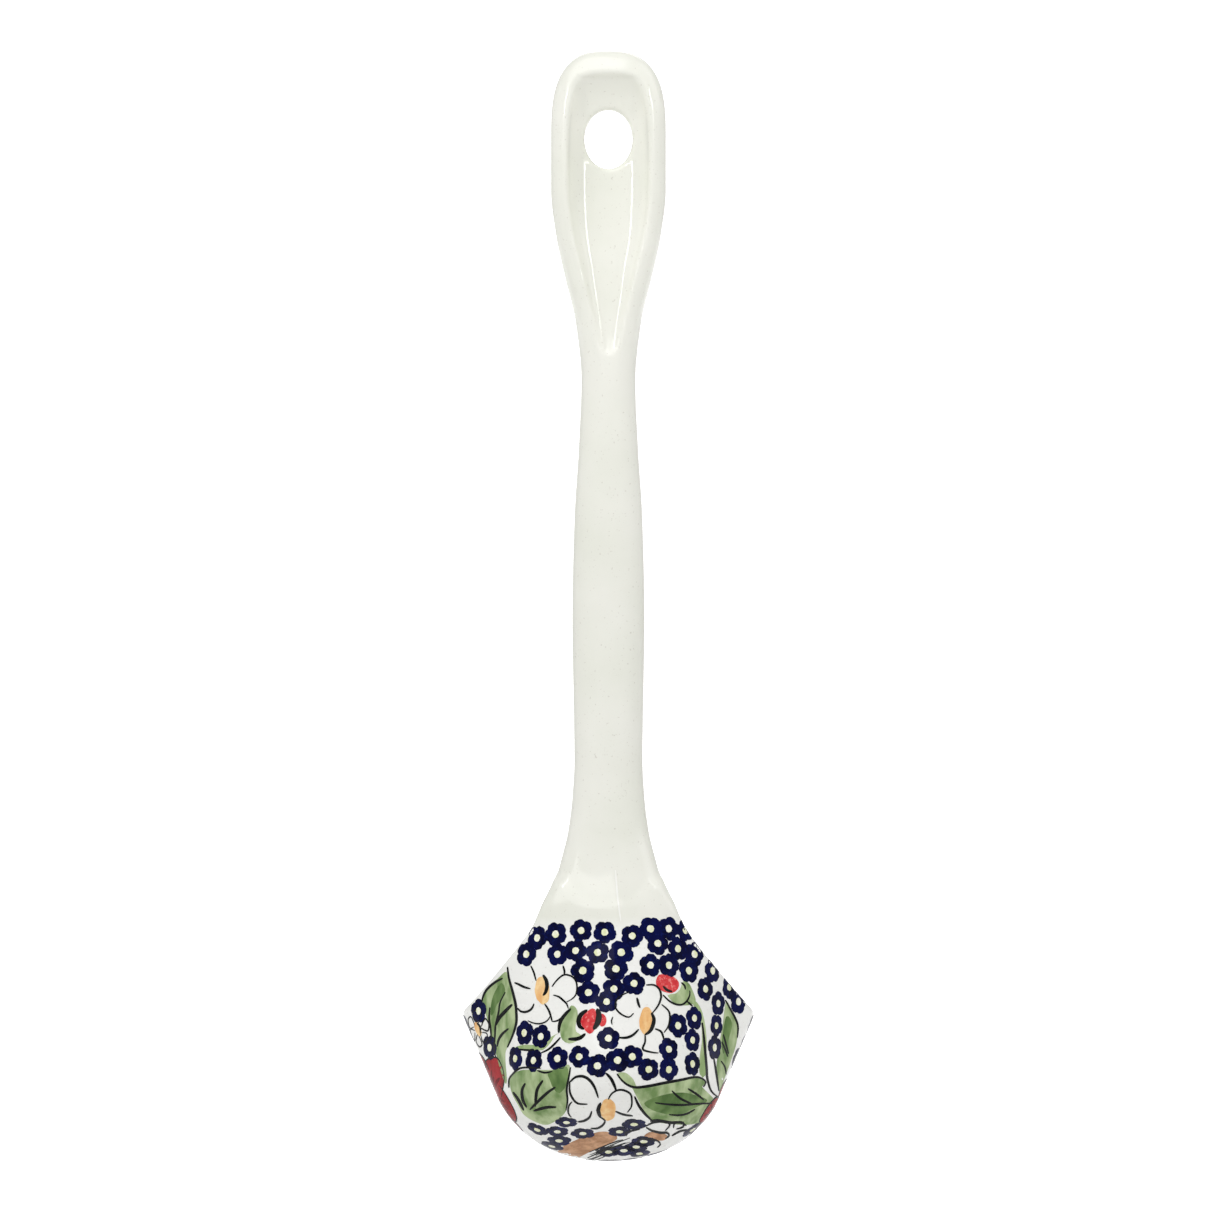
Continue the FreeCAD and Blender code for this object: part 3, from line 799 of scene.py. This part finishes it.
# how far out a daisy's petal reaches, and how far to the side, round its edge
petalEdge = [(0.32, -0.35), (0.62, -0.85), (0.88, -0.8), (1.0, 0), (0.9, 0.8), (0.64, 0.85), (0.36, 0.3)]


def daisy(canvas, size=7.5, lean=0, seed=1, petals=6):
    pick = random.Random(seed)
    for k in range(petals):
        a = math.radians(lean + 360 * k / petals + pick.uniform(-7, 7))
        reach = size * pick.uniform(0.92, 1.08)
        wide = math.pi / petals * pick.uniform(0.86, 1.0)
        loop = []
        for share, aside in petalEdge:
            b = a + aside * wide
            loop.append(onRay(reach * share, b))
        stroke(canvas, loop, pick.uniform(0.32, 0.5))
    half = (0.25 * size, 0.42 * size)
    wash("ochre", canvas, oval((0, 0), half, lean, seed=seed))
    mark = [(0.12 * size, 0.3 * size), (0.24 * size, 0.02 * size), (0.08 * size, -0.28 * size)]
    stroke(canvas, mark, 0.7)


def poppy(canvas, size=11.0, lean=0, seed=1):
    pick = random.Random(seed)
    for k in range(5):
        a = math.radians(lean + 72 * k + pick.uniform(-6, 6))
        middle = onRay(0.5 * size, a)
        half = (0.5 * size * pick.uniform(0.95, 1.08), 0.44 * size * pick.uniform(0.95, 1.1))
        edge = oval(middle, half, math.degrees(a), 18, 0.035, seed + k)
        wash("poppy_red", canvas, edge)
        stroke(canvas, edge[13:] + edge[:6], pick.uniform(0.4, 0.6))
        for aside in (-0.22, 0.02, 0.24):
            b = a + aside * pick.uniform(0.8, 1.2)
            near, far = 0.34 * size, size * pick.uniform(0.55, 0.82)
            root, end = onRay(near, b), onRay(far, b)
            middle = ((root[0] + end[0]) / 2 + 0.3, (root[1] + end[1]) / 2)
            stroke(canvas, [root, middle, end], 1.1, "poppy_shade")
    wash("shade_green", canvas, oval((0, 0), (0.17 * size, 0.15 * size), lean, seed=seed))
    for k in range(14):
        a = 2 * math.pi * k / 14 + pick.uniform(-0.1, 0.1)
        near, far = 0.19 * size, size * pick.uniform(0.29, 0.36)
        stroke(canvas, [onRay(near, a), onRay(far, a)], 0.4)


def leaf(canvas, foot, tip, width, bend=1.5):
    foot, tip = np.array(foot, float), np.array(tip, float)
    along = tip - foot
    across = np.array([-along[1], along[0]]) / np.linalg.norm(along)

    def onSpine(t):
        return foot + along * t + across * bend * math.sin(math.pi * t)

    spine = [onSpine(t) for t in (0, 0.2, 0.4, 0.6, 0.8, 1)]
    sides = []
    for side in (1, -1):
        swell = ((0, 0.05), (0.15, 0.32), (0.38, 0.5), (0.62, 0.42), (0.85, 0.2), (1, 0))
        sides.append([onSpine(t) + across * side * width * share for t, share in swell])
    wash("leaf_green", canvas, sides[0] + sides[1][-2:0:-1])
    inner = [point * 0.55 + spineAt * 0.45 for point, spineAt in zip(sides[1][1:5], spine[1:5])]
    wash("shade_green", canvas, inner + [point + across * 0.2 for point in spine[4:0:-1]])
    for edge in sides:
        stroke(canvas, edge, 0.45)
    stroke(canvas, spine[:-1], 0.5)
    for t in (0.25, 0.45, 0.65):
        root = onSpine(t)
        for side in (1, -1):
            stroke(canvas, [root, root + along * 0.16 + across * side * width * 0.3], 0.4)


# turn round the bowl from the handle, level below the rim
sidePoppies = [(-96, -24.5, 12.2, 20), (101, -29.5, 9.5, 200), (140, -19, 9.5, 70), (-140, -20, 10, 10)]
sideDaisies = [(-82, -8.5, 5.0, 0), (180, -16, 9, 15), (116, -9, 5.5, 40), (-118, -9, 5.5, 10)]
sideDaisies += [(162, -31, 5.5, 0)]
sideLeaves = [
    (-119, -20, (-2, -6), (2, 7), 7),
    (-160, -20, (4, -6), (-3, 8), 7),
    (160, -18, (-4, -6), (3, 7), 7),
    (120, -21, (-3, -6), (2, 6), 7),
    (-124, -32, (-5, 1), (7, -1), 6),
    (-163, -31, (6, 2), (-7, -1), 6),
    (126, -31, (6, 1), (-6, -2), 6),
]
for turn, level, size, lean in sidePoppies:
    poppy(aroundBowl(turn, level), size, lean, seed=turn)
for turn, level, size, lean in sideDaisies:
    daisy(aroundBowl(turn, level), size, lean, seed=turn)
for turn, level, foot, tip, width in sideLeaves:
    leaf(aroundBowl(turn, level), foot, tip, width)
daisy(onFloor(0, inside=True), 7.5, 20, seed=8)
for turn in (60, 180, 300):
    leaf(onFloor(turn, inside=True), (8.0, 1.0), (15.5, 4.0), 4.5)

rimLine = {"from": 36, "to": 324, "width": 0.7}


def rimCanvas(flat):
    turn = np.radians(flat[:, 0] / 0.6)
    around = np.where(turn > math.pi, 2 * math.pi - turn, turn)
    level = np.interp(around, rimTurns, rimLevels)
    radius = wallRadius(around, level) - bowlShape["wall"] / 2 + 0.9 + flat[:, 1]
    return settle(inBowl(radius * np.sin(turn), -radius * np.cos(turn), level), 5)


# the glaze breaks to brown where it runs thin over the rim
rimTurnsDrawn = np.arange(rimLine["from"], rimLine["to"] + 1, 4.0)
rimPull = [(turn * 0.6, 0.15 * math.sin(turn)) for turn in rimTurnsDrawn]
stroke(rimCanvas, rimPull, rimLine["width"], "rim_brown")

# centres of the stamps on the back, across and up
stampRows = [
    (-19.5, -218.5), (-14.5, -217.5), (-7.5, -216.5), (-1, -217), (6.5, -218), (11.5, -216),
    (16.5, -216), (21, -216.5), (-22.5, -223), (-14, -223), (-9, -222), (-3, -222.5), (3.5, -222.5),
    (13.5, -220), (19, -221.5), (23.5, -223), (-7, -227.5), (2, -227), (11.5, -226), (16.5, -226),
    (22, -227.5), (28.5, -227.5), (-5.5, -233.5), (1.5, -232.5), (7, -231), (26.5, -232.5), (33, -232),
    (-0.5, -236), (30, -236.5), (35.5, -236), (-35.5, -238.5), (-32.5, -248.5), (-23, -244.5),
    (-18.5, -245.5), (19, -242.5), (23.5, -240.5), (29.5, -242.5), (0, -246), (23, -246.5), (29, -248.5),
    (-25.5, -251.5), (-20.5, -252), (-14, -251.5), (-8, -251), (-3, -253.5), (2.5, -252), (6.5, -251),
    (11, -254.5), (16.5, -249), (16.5, -254.5), (23, -253), (-19.5, -271), (-11.5, -269), (-14, -271.5),
    (-7, -272), (-13.5, -274), (-15.5, -275.5), (7, -269.5), (3, -271.5), (8.5, -277.5), (13.5, -277.5),
    (0.5, -280), (6.5, -279.5), (23, -271),
]
stampShape = {
    "radius": 3.3,
    "dotRadius": 0.98,
    "lobes": 5,
    "rows": 6,  # on the sides and front
    "gap": 6.1,  # between those stamps
    "closest": 5.2,
    "backEdge": 87,  # degrees from the handle, where the drawn back ends
    "insideRing": 31,
    "insideLevel": -5.0,
    "onBase": 4,
    "seed": 12,
}


def stampPlaces():
    # the drawn back first, then rows on the sides and front that keep clear of flowers and leaves
    shape = stampShape
    taken = [seenFromBehind(np.array(stampRows))]
    motifs = [(*place[:2], place[2] + 2.2) for place in sidePoppies + sideDaisies]
    motifs += [(turn, level, 7.6) for turn, level, _, _, _ in sideLeaves]
    centres = np.hstack([aroundBowl(turn, level)(np.zeros((1, 2))) for turn, level, _ in motifs])
    reach = np.array([radius for _, _, radius in motifs])
    pick = random.Random(shape["seed"])
    for row in range(shape["rows"]):
        level = -3.8 - row * shape["gap"] * 0.93
        count = int(2 * math.pi * wallRadius(math.pi, level) / shape["gap"])
        for k in range(count):
            turn = 360 * (k + 0.5 * (row % 2)) / count + pick.uniform(-1.2, 1.2)
            if min(turn, 360 - turn) < shape["backEdge"]:
                continue
            shift = np.array([[0, pick.uniform(-0.6, 0.6)]])
            spot = aroundBowl(turn if turn < 180 else turn - 360, max(level, -35))(shift)
            fromStamps = np.linalg.norm(np.hstack(taken) - spot, axis=0)
            fromMotifs = np.linalg.norm(centres - spot, axis=0)
            if fromStamps.min() >= shape["closest"] and np.all(fromMotifs >= reach):
                taken.append(spot)
    for k in range(shape["insideRing"]):
        turn = 360 * k / shape["insideRing"]
        canvas = aroundBowl(turn if turn < 180 else turn - 360, shape["insideLevel"], inside=True)
        taken.append(canvas(np.zeros((1, 2))))
    for k in range(shape["onBase"]):
        angle = math.radians(15 + 25 * k)
        taken.append(onFloor(0, inside=False)(np.array([[10 * math.cos(angle), 2 + 9 * math.sin(angle)]])))
    return np.hstack(taken)


def stampMesh(name, radius, wobble, lobes, height, seed):
    # one rubber stamp's print: flat, closed, with each point's height kept as an attribute
    pick = random.Random(seed)
    count = lobes * 8 if lobes else 18
    grow = [1 + pick.uniform(-wobble, wobble) for _ in range(count)]
    verts, heights, faces = [], [], []
    for share, ringHeight in ((1.0, underneath), (1.0, height), (0.5, height)):
        for k in range(count):
            angle = 2 * math.pi * k / count
            lobe = 0.82 + 0.18 * abs(math.cos(lobes * angle / 2)) ** 0.55 if lobes else 1
            reach = radius * lobe * share * grow[k]
            verts.append((reach * math.cos(angle) * mm, reach * math.sin(angle) * mm, 0))
            heights.append(ringHeight * mm)
    verts += [(0, 0, 0), (0, 0, 0)]
    heights += [height * mm, underneath * mm]
    for k in range(count):
        after = (k + 1) % count
        faces.append((k, after, count + after, count + k))
        faces.append((count + k, count + after, 2 * count + after, 2 * count + k))
        faces.append((2 * count + k, 2 * count + after, 3 * count))
        faces.append((after, k, 3 * count + 1))
    mesh = bpy.data.meshes.new(name)
    mesh.from_pydata(verts, [], faces)
    attribute = mesh.attributes.new("lift", "FLOAT", "POINT")
    attribute.data.foreach_set("value", heights)
    return mesh


def addNode(tree, kind, inputs, **settings):
    # a new node with its settings made and its inputs joined up or filled in; gives its outputs
    node = tree.nodes.new(kind)
    for setting, value in settings.items():
        setattr(node, setting, value)
    for socket, value in inputs.items():
        if isinstance(value, bpy.types.NodeSocket):
            tree.links.new(value, node.inputs[socket])
        else:
            node.inputs[socket].default_value = value
    return node.outputs


def stampTree():
    # presses a stamp at every point, then lays each print on the ware
    tree = bpy.data.node_groups.new("stamp_decoration", "GeometryNodeTree")
    tree.interface.new_socket("Geometry", in_out="OUTPUT", socket_type="NodeSocketGeometry")
    kinds = {"Geometry": "Geometry", "Stamp": "Object", "Ware": "Object", "Colour": "Material"}
    for label, kind in kinds.items():
        tree.interface.new_socket(label, in_out="INPUT", socket_type=f"NodeSocket{kind}")
    start = addNode(tree, "NodeGroupInput", {})

    def named(name, kind="FLOAT"):
        return addNode(tree, "GeometryNodeInputNamedAttribute", {"Name": name}, data_type=kind)["Attribute"]

    def geometry(kind, inputs, **settings):
        return addNode(tree, "GeometryNode" + kind, inputs, **settings)

    stamp = geometry("ObjectInfo", {"Object": start["Stamp"]})["Geometry"]
    surface = geometry("ObjectInfo", {"Object": start["Ware"]})["Geometry"]
    outward = {"Vector": named("outward", "FLOAT_VECTOR")}
    facing = addNode(tree, "FunctionNodeAlignRotationToVector", outward, axis="Z")["Rotation"]
    angle = {"Axis": (0, 0, 1), "Angle": named("spin")}
    spin = addNode(tree, "FunctionNodeAxisAngleToRotation", angle)["Rotation"]
    turns = {"Rotation": facing, "Rotate By": spin}
    turned = addNode(tree, "FunctionNodeRotateRotation", turns, rotation_space="LOCAL")["Rotation"]
    pressed = {"Points": start["Geometry"], "Instance": stamp, "Rotation": turned, "Scale": named("size")}
    prints = geometry("InstanceOnPoints", pressed)["Instances"]
    prints = geometry("RealizeInstances", {"Geometry": prints})["Geometry"]
    nearest = geometry("Proximity", {0: surface}, target_element="FACES")["Position"]
    normal = geometry("InputNormal", {})["Normal"]
    sample = {"Mesh": surface, "Value": normal}
    outward = geometry("SampleNearestSurface", sample, data_type="FLOAT_VECTOR")["Value"]
    lift = {0: outward, 1: named("lift"), 2: nearest}
    place = addNode(tree, "ShaderNodeVectorMath", lift, operation="MULTIPLY_ADD")["Vector"]
    prints = geometry("SetPosition", {"Geometry": prints, "Position": place})["Geometry"]
    prints = geometry("SetMaterial", {"Geometry": prints, "Material": start["Colour"]})["Geometry"]
    addNode(tree, "NodeGroupOutput", {"Geometry": prints})
    return tree


def stampObject(name, mesh, places, tree, colour):
    # the finished prints of one colour, as a plain mesh
    points = bpy.data.meshes.new(f"{name}_places")
    points.from_pydata((places.T * mm).tolist(), [], [])
    pick = random.Random(stampShape["seed"])
    values = {
        "outward": ("FLOAT_VECTOR", "vector", unitNormal(places).T.ravel()),
        "spin": ("FLOAT", "value", [pick.uniform(0, 6.28) for _ in range(places.shape[1])]),
        "size": ("FLOAT", "value", [pick.uniform(0.93, 1.06) for _ in range(places.shape[1])]),
    }
    for attribute, (kind, field, data) in values.items():
        points.attributes.new(attribute, kind, "POINT").data.foreach_set(field, data)
    source = bpy.data.objects.new(f"{name}_places", points)
    stamp = bpy.data.objects.new(f"{name}_stamp", mesh)
    for thing in (source, stamp):
        bpy.context.collection.objects.link(thing)
    modifier = source.modifiers.new("press", "NODES")
    modifier.node_group = tree
    given = {"Stamp": stamp, "Ware": ware["glazed_bowl"], "Colour": colour}
    for socket in tree.interface.items_tree:
        if socket.in_out == "INPUT" and socket.name in given:
            modifier[socket.identifier] = given[socket.name]
    bpy.context.view_layer.update()
    evaluated = source.evaluated_get(bpy.context.evaluated_depsgraph_get())
    finished = bpy.data.meshes.new_from_object(evaluated)
    finished.name = name
    finished.materials.clear()
    finished.materials.append(colour)
    for face in finished.polygons:
        face.material_index = 0
    for thing in (source, stamp):
        bpy.data.objects.remove(thing)
    return finished


def shaderGroup(name, inputs, outputs):
    group = bpy.data.node_groups.new(name, "ShaderNodeTree")
    for label, value in inputs.items():
        kind = "Color" if isinstance(value, tuple) else "Float"
        socket = group.interface.new_socket(label, in_out="INPUT", socket_type=f"NodeSocket{kind}")
        socket.default_value = value
    for label in outputs:
        kind = "Color" if label == "Color" else "Float"
        group.interface.new_socket(label, in_out="OUTPUT", socket_type=f"NodeSocket{kind}")
    return group, addNode(group, "NodeGroupInput", {})


def mixColour(tree, share, first, second):
    return addNode(tree, "ShaderNodeMix", {0: share, 6: first, 7: second}, data_type="RGBA")[2]


def multiply(tree, first, second):
    return addNode(tree, "ShaderNodeMath", {0: first, 1: second}, operation="MULTIPLY")["Value"]


def spread(tree, value, low, high, toLow=0.0, toHigh=1.0):
    inputs = {"Value": value, "From Min": low, "From Max": high, "To Min": toLow, "To Max": toHigh}
    return addNode(tree, "ShaderNodeMapRange", inputs)["Result"]


def noise(tree, place, scale, detail, low, high):
    # noise spread over 0 to 1 between two of its values
    texture = addNode(tree, "ShaderNodeTexNoise", {"Vector": place, "Scale": scale, "Detail": detail})
    return spread(tree, texture["Fac"], low, high)


def glazeGroup():
    # clear glaze over pale clay: slow drifts of tone, fine specks and a faintly uneven skin
    inputs = {
        "Clay": (0.9, 0.9, 0.88, 1),
        "Drift": (0.86, 0.86, 0.8, 1),
        "Ground": (0.9, 0.93, 0.95, 1),
        "Speck": (0.45, 0.4, 0.33, 1),
        "Specks": 0.5,
    }
    group, start = shaderGroup("clear_glaze", inputs, ["Color", "Roughness", "Skin"])
    place = addNode(group, "ShaderNodeTexCoord", {})["Object"]
    drift = noise(group, place, 38, 3, 0.38, 0.66)
    height = addNode(group, "ShaderNodeSeparateXYZ", {"Vector": place})["Z"]
    painted = spread(group, height, -0.2125, -0.2165)  # white ground below, cream above
    specks = multiply(group, noise(group, place, 1500, 1, 0.69, 0.76), start["Specks"])
    tone = mixColour(group, drift, start["Clay"], start["Drift"])
    tone = mixColour(group, painted, tone, start["Ground"])
    results = {
        "Color": mixColour(group, specks, tone, start["Speck"]),
        "Roughness": spread(group, drift, 0.0, 1.0, 0.05, 0.11),
        "Skin": noise(group, place, 130, 2, 0.3, 0.7),
    }
    addNode(group, "NodeGroupOutput", results)
    return group


def pigmentGroup():
    # brushed or stamped colour under glaze: it pools dark and thins to its light tone
    inputs = {
        "Thin": (0.5, 0.5, 0.5, 1),
        "Full": (0.3, 0.3, 0.3, 1),
        "Grain": 200.0,
        "Specks": 0.0,
        "Speck": (0.9, 0.9, 0.9, 1),
    }
    group, start = shaderGroup("underglaze_colour", inputs, ["Color", "Roughness"])
    place = addNode(group, "ShaderNodeTexCoord", {})["Object"]
    along = addNode(group, "ShaderNodeMapping", {"Vector": place, "Scale": (1.0, 1.0, 0.45)})["Vector"]
    pooled = noise(group, along, start["Grain"], 4, 0.36, 0.64)
    specks = multiply(group, noise(group, place, 1300, 1, 0.58, 0.66), start["Specks"])
    tone = mixColour(group, pooled, start["Thin"], start["Full"])
    results = {
        "Color": mixColour(group, specks, tone, start["Speck"]),
        "Roughness": spread(group, pooled, 0.0, 1.0, 0.06, 0.12),
    }
    addNode(group, "NodeGroupOutput", results)
    return group


glaze, pigment = glazeGroup(), pigmentGroup()


def linear(red, green, blue):
    # screen colour, 0 to 255, as light
    light = []
    for value in (red, green, blue):
        value /= 255
        light.append(((value + 0.055) / 1.055) ** 2.4 if value * 255 >= 10 else value / 12.92)
    return (*light, 1)


def glazedMaterial(name, group, values, gloss, bump=0.0):
    material = bpy.data.materials.new(name)
    material.use_nodes = True
    tree = material.node_tree
    shader = tree.nodes["Principled BSDF"].inputs
    shader["IOR"].default_value = 1.5
    shader["Specular IOR Level"].default_value = gloss
    shader["Coat Weight"].default_value = 0.3 * gloss
    shader["Coat Roughness"].default_value = 0.03
    effect = addNode(tree, "ShaderNodeGroup", values, node_tree=group)
    tree.links.new(effect["Color"], shader["Base Color"])
    tree.links.new(effect["Roughness"], shader["Roughness"])
    if bump:
        inputs = {"Height": effect["Skin"], "Strength": bump, "Distance": 0.0002}
        skin = addNode(tree, "ShaderNodeBump", inputs)
        tree.links.new(skin["Normal"], shader["Normal"])
    return material


def colourMaterial(name):
    thin, full, grain, specks, speck = paintColours[name]
    values = {"Thin": linear(*thin), "Full": linear(*full), "Grain": grain, "Specks": specks}
    values["Speck"] = linear(*speck)
    return glazedMaterial(name, pigment, values, 0.1)


# thin tone, pooled tone, grain, share of specks, speck tone
paintColours = {
    "leaf_green": ((192, 208, 162), (120, 148, 92), 260, 0.0, (255, 255, 255)),
    "shade_green": ((124, 152, 94), (84, 114, 62), 240, 0.0, (255, 255, 255)),
    "stem_green": ((190, 206, 158), (150, 176, 118), 260, 0.0, (255, 255, 255)),
    "poppy_red": ((176, 48, 52), (128, 20, 26), 220, 0.25, (205, 60, 60)),
    "poppy_shade": ((120, 18, 24), (88, 10, 16), 200, 0.0, (255, 255, 255)),
    "bud_red": ((232, 82, 84), (205, 44, 52), 500, 0.7, (246, 150, 145)),
    "ochre": ((255, 220, 162), (242, 186, 122), 420, 0.15, (205, 130, 80)),
    # ochre painted darker for the underside: painted shade
    "tan_wash": ((214, 166, 128), (176, 128, 92), 420, 0.3, (140, 100, 70)),
    "black_line": ((34, 36, 36), (10, 12, 14), 300, 0.0, (255, 255, 255)),
    # lighter than the clay: painted highlight along the seam
    "clay_seam": ((255, 255, 250), (250, 250, 242), 200, 0.0, (255, 255, 255)),
    "rim_brown": ((188, 150, 132), (150, 100, 84), 120, 0.0, (255, 255, 255)),
    "cobalt": ((2, 9, 68), (0, 1, 38), 320, 0.3, (10, 34, 108)),
    "yellow_dot": ((252, 252, 238), (234, 238, 192), 650, 0.2, (200, 205, 130)),
}
clayColours = {
    "Clay": linear(245, 245, 236),
    "Drift": linear(239, 240, 229),
    "Ground": linear(250, 250, 246),
    "Specks": 0.3,
}
for name, piece in ware.items():
    piece.data.materials.append(glazedMaterial(name, glaze, clayColours, 0.5, 0.12))


def addFilm(name, mesh):
    for face in mesh.polygons:
        face.use_smooth = True
    giveTrueNormals(mesh)
    piece = bpy.data.objects.new(name, mesh)
    bpy.context.collection.objects.link(piece)
    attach(piece, "root")
    return piece


paintedPieces = []
for colour, parts in drawings.items():
    mesh = filmMesh(colour, parts, paintHeight[colour])
    mesh.materials.append(colourMaterial(colour))
    paintedPieces.append(addFilm(colour, mesh))
print("brushwork", {piece.name: len(piece.data.polygons) for piece in paintedPieces})

places, tree = stampPlaces(), stampTree()
petals = stampMesh("petals", stampShape["radius"], 0.035, stampShape["lobes"], 0.075, 3)
dots = stampMesh("dots", stampShape["dotRadius"], 0.07, 0, 0.1, 5)
for name, mesh in (("cobalt", petals), ("yellow_dot", dots)):
    addFilm(name, stampObject(name, mesh, places, tree, colourMaterial(name)))
print("stamps", places.shape[1])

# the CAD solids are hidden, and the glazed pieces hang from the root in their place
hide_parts("handle")
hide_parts("luting_slip")
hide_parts("bowl")
for piece in ware.values():
    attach(piece, "root")

studio = {
    "floorDrop": 60.0,  # floor below the bowl, so that the ladle stands free
    "cameraBack": 3.0,
    "frameWidth": 0.3321,
    "sky": 0.5,
    "backdropGlow": 0.85,
}


def softbox(name, place, size, power, target=(0, 0, -0.14)):
    light = bpy.data.lights.new(name, "AREA")
    light.shape = "RECTANGLE"
    light.size, light.size_y = size
    light.energy = power
    box = bpy.data.objects.new(name, light)
    bpy.context.collection.objects.link(box)
    box.location = place
    aim = Vector(target) - box.location
    box.rotation_euler = aim.to_track_quat("-Z", "Y").to_euler()
    box.visible_camera = False


def buildStudio():
    floorHeight = (bowlLow[2] - studio["floorDrop"]) * mm
    # floor and backdrop in one sweep
    line = [(-9.0, floorHeight), (5.0, floorHeight)]
    for k in range(1, 13):
        a = math.radians(90 * k / 12)
        line.append((5.0 + 2 * math.sin(a), floorHeight + 2 * (1 - math.cos(a))))
    line.append((7.0, 9.0))
    verts = [(side * 12.0, y, z) for y, z in line for side in (-1, 1)]
    faces = [(2 * k, 2 * k + 1, 2 * k + 3, 2 * k + 2) for k in range(len(line) - 1)]
    mesh = bpy.data.meshes.new("sweep")
    mesh.from_pydata(verts, [], faces)
    for face in mesh.polygons:
        face.use_smooth = True
    paper = bpy.data.materials.new("white_paper")
    paper.use_nodes = True
    tree = paper.node_tree
    shader = tree.nodes["Principled BSDF"].inputs
    shader["Base Color"].default_value = (0.86, 0.86, 0.86, 1)
    shader["Roughness"].default_value = 0.9
    shader["Emission Strength"].default_value = 1.0
    # the paper glows behind the ladle and fades out to the sides and in front
    where = {"Vector": addNode(tree, "ShaderNodeTexCoord", {})["Object"]}
    place = addNode(tree, "ShaderNodeSeparateXYZ", where)
    glow = spread(tree, place["Y"], 0.2, 0.85, 0.0, studio["backdropGlow"])
    beside = addNode(tree, "ShaderNodeMath", {0: place["X"]}, operation="ABSOLUTE")["Value"]
    strength = multiply(tree, glow, spread(tree, beside, 1.5, 3.5, 1.0, 0.0))
    tint = addNode(tree, "ShaderNodeCombineColor", {"Red": strength, "Green": strength, "Blue": strength})
    tree.links.new(tint["Color"], shader["Emission Color"])
    mesh.materials.append(paper)
    sweep = bpy.data.objects.new("sweep", mesh)
    bpy.context.collection.objects.link(sweep)

    world = bpy.data.worlds.new("studio_air")
    world.use_nodes = True
    world.node_tree.nodes["Background"].inputs["Color"].default_value = (1, 1, 1, 1)
    world.node_tree.nodes["Background"].inputs["Strength"].default_value = studio["sky"]
    bpy.context.scene.world = world
    softbox("key", (-0.7, -1.5, 1.7), (2.6, 2.2), 28)
    for side in (-1, 1):  # thin lamps beside the head, for the bright edges of its scoop
        softbox("strip", (side * 0.16, -0.16, 0.045), (0.013, 0.085), 0.05, (0, 0, -0.02))
    softbox("side", (1.5, -0.4, 0.9), (1.0, 1.4), 4)
    softbox("back", (0.4, 1.6, 1.8), (1.6, 1.0), 5)

    lens = bpy.data.cameras.new("camera")
    lens.sensor_width = 36
    lens.lens = 36 * studio["cameraBack"] / studio["frameWidth"]
    lens.clip_end = 30
    camera = bpy.data.objects.new("camera", lens)
    bpy.context.collection.objects.link(camera)
    camera.location = (-0.0004, -studio["cameraBack"], eye[2] * mm)
    camera.rotation_euler = (math.pi / 2, 0, 0)
    bpy.context.scene.camera = camera
    bpy.context.scene.view_settings.view_transform = "Standard"


buildStudio()
print("studio")
